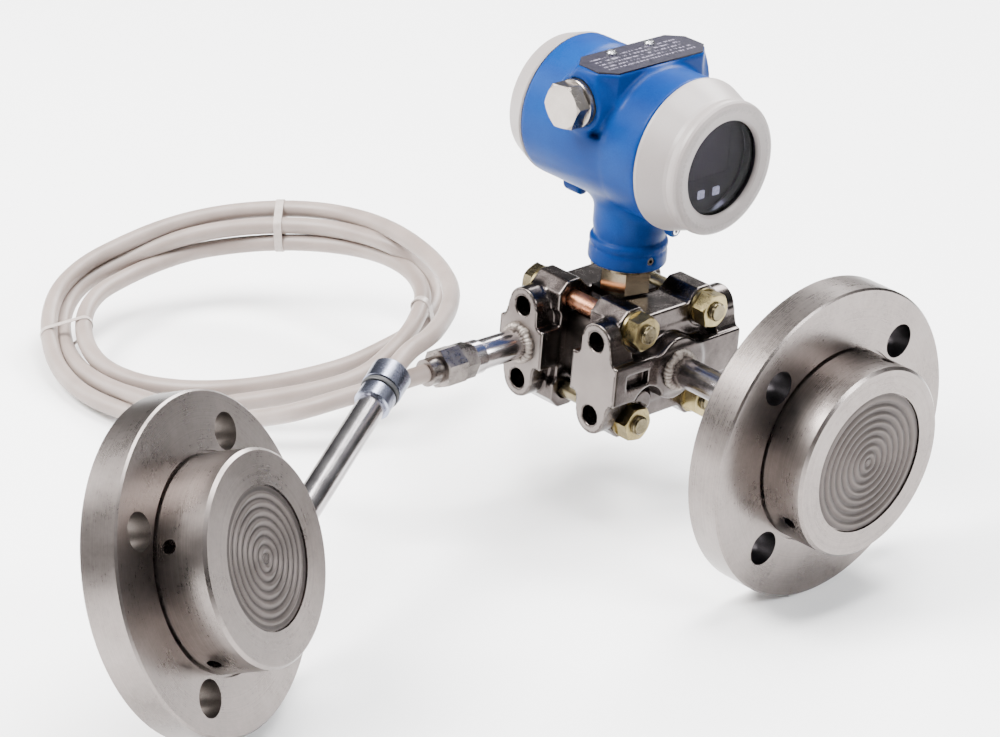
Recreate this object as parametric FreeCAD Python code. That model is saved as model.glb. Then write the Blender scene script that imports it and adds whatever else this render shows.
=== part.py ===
import FreeCAD, Part
import math
import os

# Differential pressure transmitter with two flanged diaphragm seals.
# Sketching frame: centre of the sensor capsule, +X along the clamp bolts towards the
# low-side seal, +Z up. Every solid is written in the part's own frame, whose origin is
# the centre of the low-side seal flange's bolt circle, on the flange's front face (sketching
# frame moved in X by SHIFT_X).

# ---------------------------------------------------------------- driving dimensions (mm)
# seals: DN50 PN16/40 flange pattern
FL_R = 82.5            # outside radius of the low-side flange
REMOTE_FL_R = 80.0     # outside radius of the remote flange
FL_T = 20.0            # flange thickness
PCD_R = 62.5           # bolt circle radius
BOLT_HOLE_R = 9.0
SEAL_BODY_R = 50.5     # raised seal body
SEAL_BODY_H = 25.5     # stands this far out of the flange
REMOTE_BODY_H = 27.0
DIA_R = 36.5           # low-side diaphragm
REMOTE_DIA_R = 33.0    # remote diaphragm
DISH = 1.8             # depth of the dish that the diaphragm lies in
SEAL_FACE_X = 175.2    # front face of the low-side seal, from the capsule centre
REMOTE_N = (0.8603, 0.3508, 0.3699)      # axis of the remote seal
REMOTE_C = (67.75, -326.70, -0.73)       # centre of the remote flange's front face
LOW_HOLE_DEG = 46.6
REMOTE_HOLE_DEG = 53.3

# process tubes
TUBE_R = 8.0
TUBE_BORE_R = 5.5

# sensor block
CAP_R = 30.0
CAP_HALF = 11.0        # half thickness of the capsule
PLATE_X = 33.0         # outer face of a process flange's plate
BAR_X = 43.0           # outer face of its bar and centre boss
FACE_Y = 46.4          # process connection faces
CLAMP_Y, CLAMP_Z = 25.4, 25.6
LUG_X, LUG_Z = 27.0, 20.65   # 41.3 mm between the mounting holes of a face
LUG_HOLE_R = 5.3       # tapped holes of a front connection face
BACK_HOLE_R = 5.0      # and of a back one
CLAMP_AF = 21.0        # eight-sided ear round a clamp bolt
M10_AF = 17.0

# head
HEAD_Z = 116.7
RIM_F = 35.0           # front rim of the housing
RIM_R = -47.7          # rear rim
DRUM_R = 38.6
BORE_R = 34.0          # bore that takes a cover's skirt
COVER_GAP = 0.4
SKIRT_R = 33.6
ENTRY_X, ENTRY_Z, ENTRY_R, ENTRY_Y = -6.5, 139.0, 15.5, 40.0
ENTRY_BORE_R = 9.25    # tapping bore of an M20 x 1.5 entry
PLATE_Z = 157.3
COLLAR_R = 20.6
COLLAR_Z0 = 46.2
SPIGOT_R = 14.5
SPIGOT_GAP = 0.06

# capillary
CAP_D = 9.6
ROUTE = [(-27, -113, 0), (-27, -136.7, 0), (-32.4, -153.3, -2.5), (-42.6, -167.4, -7.5),
         (-56.7, -177.6, -14.5), (-73.3, -183, -22.5), (-95, -185.5, -33), (-119, -186, -44.5),
         (-143, -184.5, -56), (-168, -181.5, -66), (-192.6, -179.9, -73), (-215.2, -179.1, -76.8),
         (-235.9, -177.5, -76.5), (-256.7, -172, -73.4), (-278, -161.4, -69.2), (-298.1, -147, -64.8),
         (-314.2, -130, -60), (-324.1, -110.3, -54.1), (-326.8, -87.2, -47.3), (-322.6, -61.3, -40),
         (-311.9, -35.1, -32.9), (-295.1, -11.3, -26.7), (-273.2, 8.1, -22), (-247.2, 22.2, -19),
         (-217.8, 29.8, -17.9), (-187, 30.1, -18.5), (-158.5, 23.6, -21), (-135.5, 11.7, -25.3),
         (-118.8, -4.3, -30.8), (-108.4, -23, -36.5), (-104.3, -43, -41.6), (-106.2, -62.9, -45.5),
         (-112.6, -82.8, -49), (-122, -102.7, -52.8), (-134.5, -121.6, -57.1), (-150.3, -138.2, -61.4),
         (-169.4, -151.9, -65.1), (-191.9, -161.6, -67.9), (-217.4, -166, -69.6), (-244, -164.1, -70.1),
         (-268.9, -155.4, -69.1), (-289.5, -141, -67.1), (-304.2, -122.2, -64.3), (-312, -99.9, -60.7),
         (-311.8, -75.3, -56), (-303.6, -49.9, -50.9), (-288.2, -25.7, -45.7), (-267, -4.7, -40.4),
         (-241.7, 11.1, -35.8), (-214, 19.6, -32.4), (-186.3, 19.6, -30.6), (-161.7, 11.7, -30.7),
         (-142.6, -2.7, -32.1), (-129.3, -21.4, -34.2), (-122.4, -41.1, -37.2), (-122.3, -59.9, -41.3),
         (-127.8, -78.7, -45.9), (-137.4, -98.1, -50.6), (-150.5, -116.9, -55.1), (-167.2, -133.5, -59.2),
         (-187.3, -146.6, -62.7), (-210.2, -154.7, -64.9), (-233.8, -156.4, -65.3), (-255.2, -151.3, -63.8),
         (-272.2, -140.7, -60.4), (-283.8, -126.1, -55.4), (-290.5, -107.7, -49.9), (-293.3, -84.4, -44.6),
         (-292.4, -56, -39.8), (-284.9, -26.3, -35.1), (-268.6, -1.6, -30.5), (-247.4, 14.1, -26.8),
         (-226.4, 20.2, -24.1), (-204.8, 18.5, -21.5), (-179.4, 10, -17.1), (-150, -4.8, -10.3),
         (-119.3, -24.7, -2), (-90.2, -47.8, 6.5), (-65.2, -71.7, 13.9), (-44.2, -94.9, 20),
         (-28.9, -114.9, 24), (-22.1, -128.6, 23.7), (-12.2, -150.2, 16)]
LEAD_A_END = 10        # route point where the first lead joins the coil
LEAD_B_START = 74      # route point where the second lead leaves the coil
COIL_C = (-214.2, -70.9, -45.7)          # centre of the coil's closed solid
COIL_N = (-0.0413, -0.2307, 0.9722)
COIL_RI, COIL_RO, COIL_H = 74.0, 121.5, 26.4
FLOOR_Z = -82.5

# remote tube
ROD_B = (38.7, -261.5, -23.7)
ROD_F = (-12.2, -150.2, 16.0)
ROD_R = 7.5

V = FreeCAD.Vector
X, Y, Z = V(1, 0, 0), V(0, 1, 0), V(0, 0, 1)
SHIFT_X = -(SEAL_FACE_X - SEAL_BODY_H)
SHIFT = V(SHIFT_X, 0, 0)
os.makedirs("parts", exist_ok=True)
WRITTEN = []


def vec(p):
    return V(*p)


def cyl(p, axis, r, h):
    return Part.makeCylinder(r, h, vec(p), vec(axis))


def box(x0, x1, y0, y1, z0, z1):
    return Part.makeBox(x1 - x0, y1 - y0, z1 - z0, V(x0, y0, z0))


def turn_to(axis):
    return FreeCAD.Rotation(Z, vec(axis))


def revolve(profile, p, axis):
    """Closed profile of (radius, height) turned round the axis through p."""
    pts = [V(r, 0, h) for r, h in profile]
    face = Part.Face(Part.makePolygon(pts + [pts[0]]))
    s = face.revolve(V(0, 0, 0), Z, 360)
    s.Placement = FreeCAD.Placement(vec(p), turn_to(axis))
    return solid(s)


def solid(s):
    if s.ShapeType != "Solid" and len(s.Solids) == 1:
        return s.Solids[0]
    return s


def hexagon(p, axis, af, h, turn=0.0, chamfer=0.0):
    """Hexagonal prism of width af across flats, its edges turned down at the far end."""
    r = af / math.sqrt(3)
    pts = [V(r * math.cos(math.radians(60 * i + turn)), r * math.sin(math.radians(60 * i + turn)), 0)
           for i in range(7)]
    s = Part.Face(Part.makePolygon(pts)).extrude(V(0, 0, h))
    if chamfer:
        rc = af / 2 + 0.1
        cone = Part.Face(Part.makePolygon([V(0, 0, -1), V(r + 1, 0, -1), V(r + 1, 0, h - chamfer * 0.577 * (r + 1 - rc) / chamfer - 0.0001),
                                           V(rc, 0, h + 0.0), V(0, 0, h), V(0, 0, -1)])).revolve(V(0, 0, 0), Z, 360)
        s = s.common(cone)
    s.Placement = FreeCAD.Placement(vec(p), turn_to(axis))
    return solid(s)


def fuse(*shapes):
    out = shapes[0]
    if len(shapes) > 1:
        out = out.fuse(list(shapes[1:]))
    return solid(out.removeSplitter())


def write(name, shape):
    s = shape.copy()
    s.translate(SHIFT)
    if not s.isValid():
        s.fix(0.001, 0.001, 0.001)
    s.exportStep("parts/%s.step" % name)
    b = s.BoundBox
    WRITTEN.append((name, len(s.Solids), s.Volume, s.isValid()))
    print("%-24s solids %d volume %10.1f valid %s box %.1f..%.1f %.1f..%.1f %.1f..%.1f" % (
        name, len(s.Solids), s.Volume, s.isValid(), b.XMin, b.XMax, b.YMin, b.YMax, b.ZMin, b.ZMax))


def group(shapes):
    return Part.makeCompound(list(shapes))


# ---------------------------------------------------------------- seals
# Local frame of a seal: origin at the centre of the flange's front face, +X out towards the
# process, Y horizontal, Z up in the flange's plane.
def seal_frame(n):
    nv = vec(n)
    nv.normalize()
    u = Z.cross(nv)
    u.normalize()
    v = nv.cross(u)
    m = FreeCAD.Matrix(nv.x, u.x, v.x, 0, nv.y, u.y, v.y, 0, nv.z, u.z, v.z, 0, 0, 0, 0, 1)
    return FreeCAD.Rotation(m)


def make_seal(hole_deg, plugs, fl_r, dia_r, h):
    # flange: chamfered disc with a bored centre and four bolt holes
    fl = revolve([(SEAL_BODY_R, -FL_T), (fl_r - 1.0, -FL_T), (fl_r, -FL_T + 1.0), (fl_r, -1.0),
                  (fl_r - 1.0, 0), (SEAL_BODY_R + 1.4, 0), (SEAL_BODY_R + 1.4, -1.6), (SEAL_BODY_R, -1.6)],
                 (0, 0, 0), (1, 0, 0))
    for i in range(4):
        a = math.radians(hole_deg + 90 * i)
        y, z = PCD_R * math.cos(a), PCD_R * math.sin(a)
        fl = fl.cut(cyl((-FL_T - 1, y, z), (1, 0, 0), BOLT_HOLE_R, FL_T + 2))
    # seal body: plug of the flange's bore with the raised cylinder, a chamfered rim and a
    # shallow dish for the diaphragm
    prof = [(0, -FL_T), (SEAL_BODY_R, -FL_T), (SEAL_BODY_R, h - 1.5), (SEAL_BODY_R - 1.5, h),
            (dia_r + 0.5, h), (dia_r + 0.5, h - DISH), (0, h - DISH)]
    body = revolve(prof, (0, 0, 0), (1, 0, 0))
    fills = []
    for s, a in plugs:
        ar = math.radians(a)
        d = V(0, math.cos(ar), math.sin(ar))
        p = V(s, 0, 0) + d * (SEAL_BODY_R - 9)
        body = body.cut(cyl(p, d, 3.4, 12))
        plug = cyl(p, d, 3.3, 3.6).cut(hexagon(p + d * 1.6, d, 3.0, 3))
        fills.append(solid(plug))
    # diaphragm: thin corrugated disc
    n, pitch, amp, t = 7, 4.2, 0.42, 0.35
    top, bot = [], []
    x0 = h - DISH + 0.95
    steps = 64
    for k in range(steps + 1):
        r = (dia_r - 2.6) * k / steps
        w = amp * math.cos(2 * math.pi * r / pitch) * min(1.0, r / 3.0) if r > 2.0 else 0.0
        top.append((r, x0 + w))
        bot.append((r, x0 + w - t))
    prof = top + [(dia_r, x0 + 0.1), (dia_r, h - DISH)] + [(dia_r - 2.0, h - DISH)] + bot[::-1]
    dia = revolve(prof, (0, 0, 0), (1, 0, 0))
    return fl, body, dia, group(fills)


def place(shape, c, rot):
    s = shape.copy()
    s.Placement = FreeCAD.Placement(vec(c), rot).multiply(s.Placement)
    return s


low = make_seal(LOW_HOLE_DEG, [(16.0, -151.5), (16.0, 71.5)], FL_R, DIA_R, SEAL_BODY_H)
low_c = (SEAL_FACE_X - SEAL_BODY_H, 0, 0)
rot0 = FreeCAD.Rotation()
for nm, s in zip(("low_seal_flange", "low_seal_body", "low_diaphragm", "low_fill_plugs"), low):
    write(nm, place(s, low_c, rot0))

rot_r = seal_frame(REMOTE_N)
rem = make_seal(REMOTE_HOLE_DEG, [(8.0, -138.5), (8.0, 148.8)], REMOTE_FL_R, REMOTE_DIA_R, REMOTE_BODY_H)
remote = {}
for nm, s in zip(("remote_seal_flange", "remote_seal_body", "remote_diaphragm", "remote_fill_plugs"), rem):
    remote[nm] = place(s, REMOTE_C, rot_r)

# ---------------------------------------------------------------- sensor capsule and neck
capsule = fuse(cyl((-CAP_HALF, 0, 0), (1, 0, 0), CAP_R, 2 * CAP_HALF),
               box(-CAP_HALF, CAP_HALF, -13, 13, 0, 31.0))
SEALRING_R0, SEALRING_R1, SEALRING_T = 21.0, 24.0, 1.5
ISO_R, ISO_T = 18.0, 0.4
for sx in (-1, 1):
    # ring groove and shallow diaphragm dish in each face
    g = revolve([(SEALRING_R0, 0), (SEALRING_R1, 0), (SEALRING_R1, SEALRING_T), (SEALRING_R0, SEALRING_T)],
                (sx * CAP_HALF, 0, 0), (-sx, 0, 0))
    d = cyl((sx * CAP_HALF, 0, 0), (-sx, 0, 0), ISO_R + 0.1, 0.9)
    capsule = capsule.cut(g).cut(d)
write("sensor_capsule", solid(capsule))
rings, isos = [], []
for sx in (-1, 1):
    rings.append(revolve([(SEALRING_R0 + 0.1, 0), (SEALRING_R1 - 0.1, 0), (SEALRING_R1 - 0.1, SEALRING_T - 0.05),
                          (SEALRING_R0 + 0.1, SEALRING_T - 0.05)], (sx * CAP_HALF, 0, 0), (-sx, 0, 0)))
    prof = [(0, 0.35), (4, 0.35), (6, 0.15), (8, 0.35), (10, 0.15), (12, 0.35), (14, 0.15), (16, 0.35), (ISO_R, 0.5),
            (ISO_R, 0.9), (16, 0.7), (14, 0.5), (12, 0.7), (10, 0.5), (8, 0.7), (6, 0.5), (4, 0.7), (0, 0.7)]
    isos.append(revolve(prof, (sx * CAP_HALF, 0, 0), (-sx, 0, 0)))
write("flange_seal_rings", group(rings))
write("isolating_diaphragms", group(isos))

# neck: hexagon on the capsule, shoulder ring and the spigot that the head turns on
neck = fuse(hexagon((0, 0, 31.0), (0, 0, 1), 25.0, 12.0, 15.0),
            revolve([(0, 43.0), (15.0, 43.0), (16.0, 43.6), (16.0, 45.8), (SPIGOT_R, 45.8), (SPIGOT_R, 50.0),
                     (13.0, 50.0), (13.0, 54.0), (SPIGOT_R, 54.0), (SPIGOT_R, 61.2), (SPIGOT_R - 0.8, 62.0), (0, 62.0)],
                    (0, 0, 0), (0, 0, 1)))
neck = neck.cut(cyl((0, 0, 36.0), (0, 0, 1), 6.0, 40))
write("sensor_neck", solid(neck))


# ---------------------------------------------------------------- process flanges
def ear(x0, x1, y, z):
    r = CLAMP_AF / 2 / math.cos(math.radians(22.5))
    pts = [V(x0, y + r * math.cos(math.radians(22.5 + 45 * k)), z + r * math.sin(math.radians(22.5 + 45 * k))) for k in range(9)]
    return Part.Face(Part.makePolygon(pts)).extrude(V(x1 - x0, 0, 0))


def process_flange(sx, low_side):
    parts = []
    # plate between and around the clamp bolts
    parts.append(box(CAP_HALF, PLATE_X, -CLAMP_Y, CLAMP_Y, -29.5, 29.5))
    parts.append(box(CAP_HALF, PLATE_X, -33.5, 33.5, -20, 20))
    for sy in (-1, 1):
        for sz in (-1, 1):
            parts.append(ear(CAP_HALF, PLATE_X, sy * CLAMP_Y, sz * CLAMP_Z))
    # bar across the plate, its centre boss and the two connection ends
    parts.append(box(CAP_HALF, BAR_X, -FACE_Y, FACE_Y, -11, 11))
    parts.append(cyl((CAP_HALF, 0, 0), (1, 0, 0), 17.0, BAR_X - CAP_HALF))
    for sy in (-1, 1):
        y0, y1 = (-FACE_Y, -31) if sy < 0 else (31, FACE_Y)
        for sz in (-1, 1):
            parts.append(cyl((LUG_X, y0, sz * LUG_Z), (0, 1, 0), 10.0, y1 - y0))
            # web from the bar out to the lug
            z0, z1 = (8, LUG_Z) if sz > 0 else (-LUG_Z, -8)
            web = Part.Face(Part.makePolygon([V(15.5, y0, sz * 8), V(41.0, y0, sz * 8), V(37.0, y0, sz * LUG_Z),
                                              V(17.0, y0, sz * LUG_Z), V(15.5, y0, sz * 8)])).extrude(V(0, y1 - y0, 0))
            parts.append(web)
    f = parts[0].fuse(parts[1:]).removeSplitter()
    f = solid(f)
    if low_side:
        # cast pocket in the bar's outer face, and a round boss in a recess under it
        f = f.cut(box(38.5, 50, -37, -21.5, -3, 4.5))
        f = f.cut(cyl((PLATE_X, -20.5, -15.5), (1, 0, 0), 10.4, 20))
        f = solid(f.fuse(fuse(cyl((PLATE_X - 4, -20.5, -15.5), (1, 0, 0), 8.2, 9.0),
                              cyl((PLATE_X + 5, -20.5, -15.5), (1, 0, 0), 6.6, 1.4))).removeSplitter())
    # spot faces for the clamp bolts' washers
    for sy in (-1, 1):
        for sz in (-1, 1):
            f = f.cut(cyl((PLATE_X, sy * CLAMP_Y, sz * CLAMP_Z), (1, 0, 0), 11.0, 20))
    # clamp bolt holes
    for sy in (-1, 1):
        for sz in (-1, 1):
            f = f.cut(cyl((CAP_HALF - 1, sy * CLAMP_Y, sz * CLAMP_Z), (1, 0, 0), 5.5, 40))
    # tapped mounting holes of the connection ends
    for sy in (-1, 1):
        for sz in (-1, 1):
            r = LUG_HOLE_R if sy < 0 else BACK_HOLE_R
            f = f.cut(cyl((LUG_X, sy * (FACE_Y + 1), sz * LUG_Z), (0, -sy, 0), r, 15.0))
    # pressure chamber over the capsule's diaphragm and its passage
    f = f.cut(cyl((CAP_HALF - 1, 0, 0), (1, 0, 0), 17.5, 2.0))
    if low_side:
        f = f.cut(cyl((CAP_HALF, 0, 0), (1, 0, 0), TUBE_BORE_R, 40))
    else:
        f = f.cut(cyl((CAP_HALF, 0, 0), (1, 0, 0), TUBE_BORE_R, 16.0 + TUBE_BORE_R))
        f = f.cut(cyl((LUG_X, -FACE_Y - 1, 0), (0, 1, 0), TUBE_BORE_R, FACE_Y + 1))
    if sx < 0:
        f = f.mirror(V(0, 0, 0), X)
    return solid(f)


low_flange = process_flange(1, True)
write("low_flange", low_flange)
high_flange = process_flange(-1, False)
write("high_flange", high_flange)

# ---------------------------------------------------------------- clamp bolts, nuts, washers
bolts, nuts, washers = [], [], []
for sy in (-1, 1):
    for sz in (-1, 1):
        y, z = sy * CLAMP_Y, sz * CLAMP_Z
        shank = revolve([(0, -PLATE_X - 1.6), (5.0, -PLATE_X - 1.6), (5.0, 44.3), (4.2, 45.1), (0, 45.1)],
                        (0, y, z), (1, 0, 0))
        head = hexagon((-PLATE_X - 1.6, y, z), (-1, 0, 0), M10_AF, 6.4, 12.0 + 17 * sy + 9 * sz, 1.0)
        bolts.append(fuse(shank, head))
        nut = hexagon((PLATE_X + 1.6, y, z), (1, 0, 0), M10_AF, 8.0, 20.0 - 13 * sy + 11 * sz, 1.0)
        nuts.append(solid(nut.cut(cyl((PLATE_X, y, z), (1, 0, 0), 5.0, 12))))
        for sx in (-1, 1):
            washers.append(solid(cyl((sx * PLATE_X, y, z), (sx, 0, 0), 9.6, 1.6).cut(
                cyl((sx * PLATE_X, y, z), (sx, 0, 0), 5.25, 1.6))))
write("clamp_bolts", group(bolts))
write("clamp_nuts", group(nuts))
write("clamp_washers", group(washers))

# ---------------------------------------------------------------- low-side tube
flange_back = SEAL_FACE_X - SEAL_BODY_H - FL_T
low_tube = revolve([(TUBE_BORE_R, BAR_X), (12.4, BAR_X), (11.6, BAR_X + 1.6), (9.2, BAR_X + 3.4), (TUBE_R, BAR_X + 4.6),
                    (TUBE_R, flange_back - 4.2), (9.0, flange_back - 3.2), (11.2, flange_back - 1.2),
                    (11.8, flange_back), (TUBE_BORE_R, flange_back)], (0, 0, 0), (1, 0, 0))
write("low_tube", low_tube)

# ---------------------------------------------------------------- high-side stub and gland
HX = -LUG_X
high_tube = revolve([(TUBE_BORE_R, FACE_Y), (11.8, FACE_Y), (11.2, FACE_Y + 1.4), (9.4, FACE_Y + 3.4), (TUBE_R, FACE_Y + 4.6),
                     (TUBE_R, 76.0), (TUBE_BORE_R, 76.0)], (HX, 0, 0), (0, -1, 0))
write("high_tube", high_tube)
collar = revolve([(3.2, 76.0), (TUBE_BORE_R, 76.0), (8.2, 76.0), (8.2, 77.0), (9.0, 77.4), (9.0, 82.6), (8.4, 83.0),
                  (3.2, 83.0)], (HX, 0, 0), (0, -1, 0))
write("high_collar", collar)
nut_a = hexagon((HX, -83.0, 0), (0, -1, 0), 17.0, 9.0, 10.0).cut(cyl((HX, -80, 0), (0, -1, 0), 5.2, 20))
write("gland_nut_inner", solid(nut_a))
nut_b = hexagon((HX, -92.0, 0), (0, -1, 0), 19.0, 13.0, 25.0, 1.0)
nut_b = fuse(nut_b, cyl((HX, -105.0, 0), (0, -1, 0), 7.2, 8.0))
nut_b = nut_b.cut(cyl((HX, -90, 0), (0, -1, 0), 5.2, 30))
write("gland_nut_outer", solid(nut_b))
# sleeve inside both nuts, seats on the collar and grips the capillary
sleeve = cyl((HX, -83.0, 0), (0, -1, 0), 5.1, 30.0)
sleeve = sleeve.cut(cyl((HX, -80.0, 0), (0, -1, 0), 3.2, 40.0))
write("gland_sleeve", solid(sleeve))


# ---------------------------------------------------------------- capillary
def tube_path(points):
    """Straight runs joined by tangent arcs, each as large as its two runs allow."""
    pts = [vec(p) for p in points]
    n = len(pts)
    edges, radii, arcs = [], [], []
    for i in range(1, n - 1):
        a, b, c = pts[i - 1], pts[i], pts[i + 1]
        d0, d1 = b - a, c - b
        l0, l1 = d0.Length, d1.Length
        d0.normalize()
        d1.normalize()
        ang = math.acos(max(-1.0, min(1.0, d0.dot(d1))))
        t = 0.45 * min(l0, l1)
        r = t / math.tan(ang / 2)
        p0, p1 = b - d0 * t, b + d1 * t
        bis = d1 - d0
        bis.normalize()
        mid = b + bis * (r / math.cos(ang / 2) - r)
        arcs.append((p0, mid, p1))
        radii.append(r)
    cur = pts[0]
    for p0, mid, p1 in arcs:
        if (p0 - cur).Length > 1e-6:
            edges.append(Part.LineSegment(cur, p0).toShape())
        edges.append(Part.Arc(p0, mid, p1).toShape())
        cur = p1
    edges.append(Part.LineSegment(cur, pts[-1]).toShape())
    return Part.Wire(edges), radii


def tube(points, name):
    wire, radii = tube_path(points)
    start, nxt = vec(points[0]), vec(points[1])
    d = nxt - start
    d.normalize()
    ring = Part.Wire([Part.Circle(start, d, CAP_D / 2).toShape()])
    s = wire.makePipeShell([ring], True, True)
    s = solid(s)
    want = math.pi * (CAP_D / 2) ** 2 * wire.Length
    print("%s: length %.1f volume %.1f expected %.1f radii %s" % (
        name, wire.Length, s.Volume, want, " ".join("%.0f" % r for r in radii)))
    return s, wire


lead_a, wa = tube(ROUTE[:LEAD_A_END + 1], "capillary_lead_a")
lead_b, wb = tube(ROUTE[LEAD_B_START:], "capillary_lead_b")
coil = revolve([(COIL_RI, -COIL_H / 2 + 7), (COIL_RI + 7, -COIL_H / 2), (COIL_RO - 7, -COIL_H / 2), (COIL_RO, -COIL_H / 2 + 7),
                (COIL_RO, COIL_H / 2 - 7), (COIL_RO - 7, COIL_H / 2), (COIL_RI + 7, COIL_H / 2), (COIL_RI, COIL_H / 2 - 7)],
               COIL_C, COIL_N)
coil = solid(coil.common(box(-400, 0, -300, 200, FLOOR_Z, 100)))
print("coil lowest", coil.BoundBox.ZMin, "floor", FLOOR_Z)
lead_a = lead_a.cut(coil)
lead_b = lead_b.cut(coil)
for s in (lead_a, lead_b):
    print("lead solids", len(s.Solids), [round(k.Volume) for k in s.Solids])
lead_a = max(lead_a.Solids, key=lambda k: k.Volume)
lead_b = max(lead_b.Solids, key=lambda k: k.Volume)
write("capillary_coil", coil)

# ties: bands round the coil's section
TIE_DEG = (129.0, 25.0, -124.0)
TIE_T, TIE_W_DEG = 1.2, 2.6
ties = []
o = TIE_T
tie_prof = [(COIL_RI - o, -COIL_H / 2 + 6.6), (COIL_RI + 6.6, -COIL_H / 2 - o), (COIL_RO - 6.6, -COIL_H / 2 - o),
            (COIL_RO + o, -COIL_H / 2 + 6.6), (COIL_RO + o, COIL_H / 2 - 6.6), (COIL_RO - 6.6, COIL_H / 2 + o),
            (COIL_RI + 6.6, COIL_H / 2 + o), (COIL_RI - o, COIL_H / 2 - 6.6)]
e1 = X - vec(COIL_N) * X.dot(vec(COIL_N))
e1.normalize()
e2 = vec(COIL_N).cross(e1)
for ang in TIE_DEG:
    a = math.radians(ang - TIE_W_DEG / 2)
    d = e1 * math.cos(a) + e2 * math.sin(a)
    nv = vec(COIL_N)
    nv.normalize()
    pts = [vec(COIL_C) + d * r + nv * hgt for r, hgt in tie_prof]
    face = Part.Face(Part.makePolygon(pts + [pts[0]]))
    band = solid(face.revolve(vec(COIL_C), nv, TIE_W_DEG))
    band = band.cut(coil).common(box(-400, 0, -300, 200, FLOOR_Z, 100))
    ties.append(max(band.Solids, key=lambda k: k.Volume))
write("coil_ties", group(ties))
write("capillary_lead_a", lead_a)
write("capillary_lead_b", lead_b)

# ---------------------------------------------------------------- remote tube and ferrule
rb, rf = vec(ROD_B), vec(ROD_F)
rd = rf - rb
ROD_L = rd.Length
rd.normalize()
rim_cut = place(cyl((-FL_T - 4, 0, 0), (1, 0, 0), REMOTE_FL_R, FL_T + 10), REMOTE_C, rot_r)
rod = fuse(revolve([(3.2, -4.0), (9.4, -4.0), (9.4, 7.0), (8.8, 8.6), (ROD_R, 10.0), (ROD_R, ROD_L - 26.0), (3.2, ROD_L - 26.0)],
                   ROD_B, tuple(rd)))
rod = rod.cut(rim_cut)
rod = max(rod.Solids, key=lambda k: k.Volume)
write("remote_tube", rod)
# ferrule: clamps the tube's end on the capillary jacket
fer = revolve([(4.9, ROD_L - 26.0), (8.6, ROD_L - 26.0), (9.4, ROD_L - 25.2), (9.4, ROD_L - 17.0), (8.2, ROD_L - 16.4),
               (8.2, ROD_L - 13.6), (10.5, ROD_L - 13.0), (10.5, ROD_L - 1.0), (9.7, ROD_L), (4.9, ROD_L)],
              ROD_B, tuple(rd))
write("remote_ferrule", fer)
ring = revolve([(8.3, ROD_L - 16.2), (9.9, ROD_L - 16.2), (10.2, ROD_L - 15.6), (10.2, ROD_L - 14.2), (9.9, ROD_L - 13.6),
                (8.3, ROD_L - 13.6)], ROD_B, tuple(rd))
write("remote_ferrule_ring", ring)
# the jacket's end plug inside the ferrule
plug = cyl(rb + rd * (ROD_L - 26.0), rd, 4.8, 26.0)
write("capillary_end", plug)
for nm in ("remote_seal_flange", "remote_seal_body", "remote_diaphragm", "remote_fill_plugs"):
    write(nm, remote[nm])

# ---------------------------------------------------------------- head housing
zc = HEAD_Z
drum = revolve([(0, RIM_R), (37.9, RIM_R), (DRUM_R, RIM_R + 0.8), (DRUM_R, 9.0), (38.9, 12.0), (39.6, 34.4), (39.0, RIM_F),
                (0, RIM_F)], (0, 0, zc), (1, 0, 0))
# the drum is recessed above its middle, round the entries and the pad
recess = revolve([(DRUM_R, -27.0), (37.6, -24.5), (35.6, -22.0), (34.6, -19.5), (34.2, -16.0), (34.2, 2.0), (34.8, 4.5),
                  (36.6, 7.0), (38.2, 9.0), (38.9, 12.0), (46.0, 12.0), (46.0, -27.0)], (0, 0, zc), (1, 0, 0))
drum = solid(drum.cut(recess.common(box(-40, 30, -60, 60, zc + 6.0, zc + 60))))
entry = cyl((ENTRY_X, -ENTRY_Y, ENTRY_Z), (0, 1, 0), ENTRY_R, 2 * ENTRY_Y)


def octagon(x0, x1, hy, cx, cy, z):
    pts = [V(x0, -hy + cy, z), V(x0 + cx, -hy, z), V(x1 - cx, -hy, z), V(x1, -hy + cy, z),
           V(x1, hy - cy, z), V(x1 - cx, hy, z), V(x0 + cx, hy, z), V(x0, hy - cy, z)]
    return Part.Face(Part.makePolygon(pts + [pts[0]]))


pad = octagon(-17.6, 11.6, 39.0, 7.5, 8.5, 140.0).extrude(V(0, 0, PLATE_Z - 140.0))
upneck = revolve([(0, 60.6), (18.2, 60.6), (18.6, 61.4), (19.5, 66.0), (19.8, 82.0), (21.5, 88.0), (24.0, 93.0), (0, 93.0)],
                 (0, 0, 0), (0, 0, 1))
collar_h = revolve([(0, COLLAR_Z0), (20.0, COLLAR_Z0), (COLLAR_R, COLLAR_Z0 + 0.8), (COLLAR_R, 54.3), (19.9, 54.7), (19.9, 55.5),
                    (COLLAR_R, 55.9), (COLLAR_R, 58.8), (19.8, 59.8), (18.4, 60.6), (0, 60.6)], (0, 0, 0), (0, 0, 1))
# lock ears under both rims
ear_f = cyl((29.5, -3.0, 75.2), (1, 0, 0), 4.2, 5.5)
ear_fw = box(29.5, 35.0, -7.2, 1.2, 75.2, 82.0)
ear_r = cyl((-44.0, -3.0, 75.2), (1, 0, 0), 4.2, 12.0)
ear_rw = box(-44.0, -32.0, -7.2, 1.2, 75.2, 84.0)
outer = drum.fuse([entry, pad, upneck, collar_h, ear_f, ear_fw, ear_r, ear_rw]).removeSplitter()
outer = solid(outer)
print("housing outer valid", outer.isValid(), outer.ShapeType)


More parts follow.
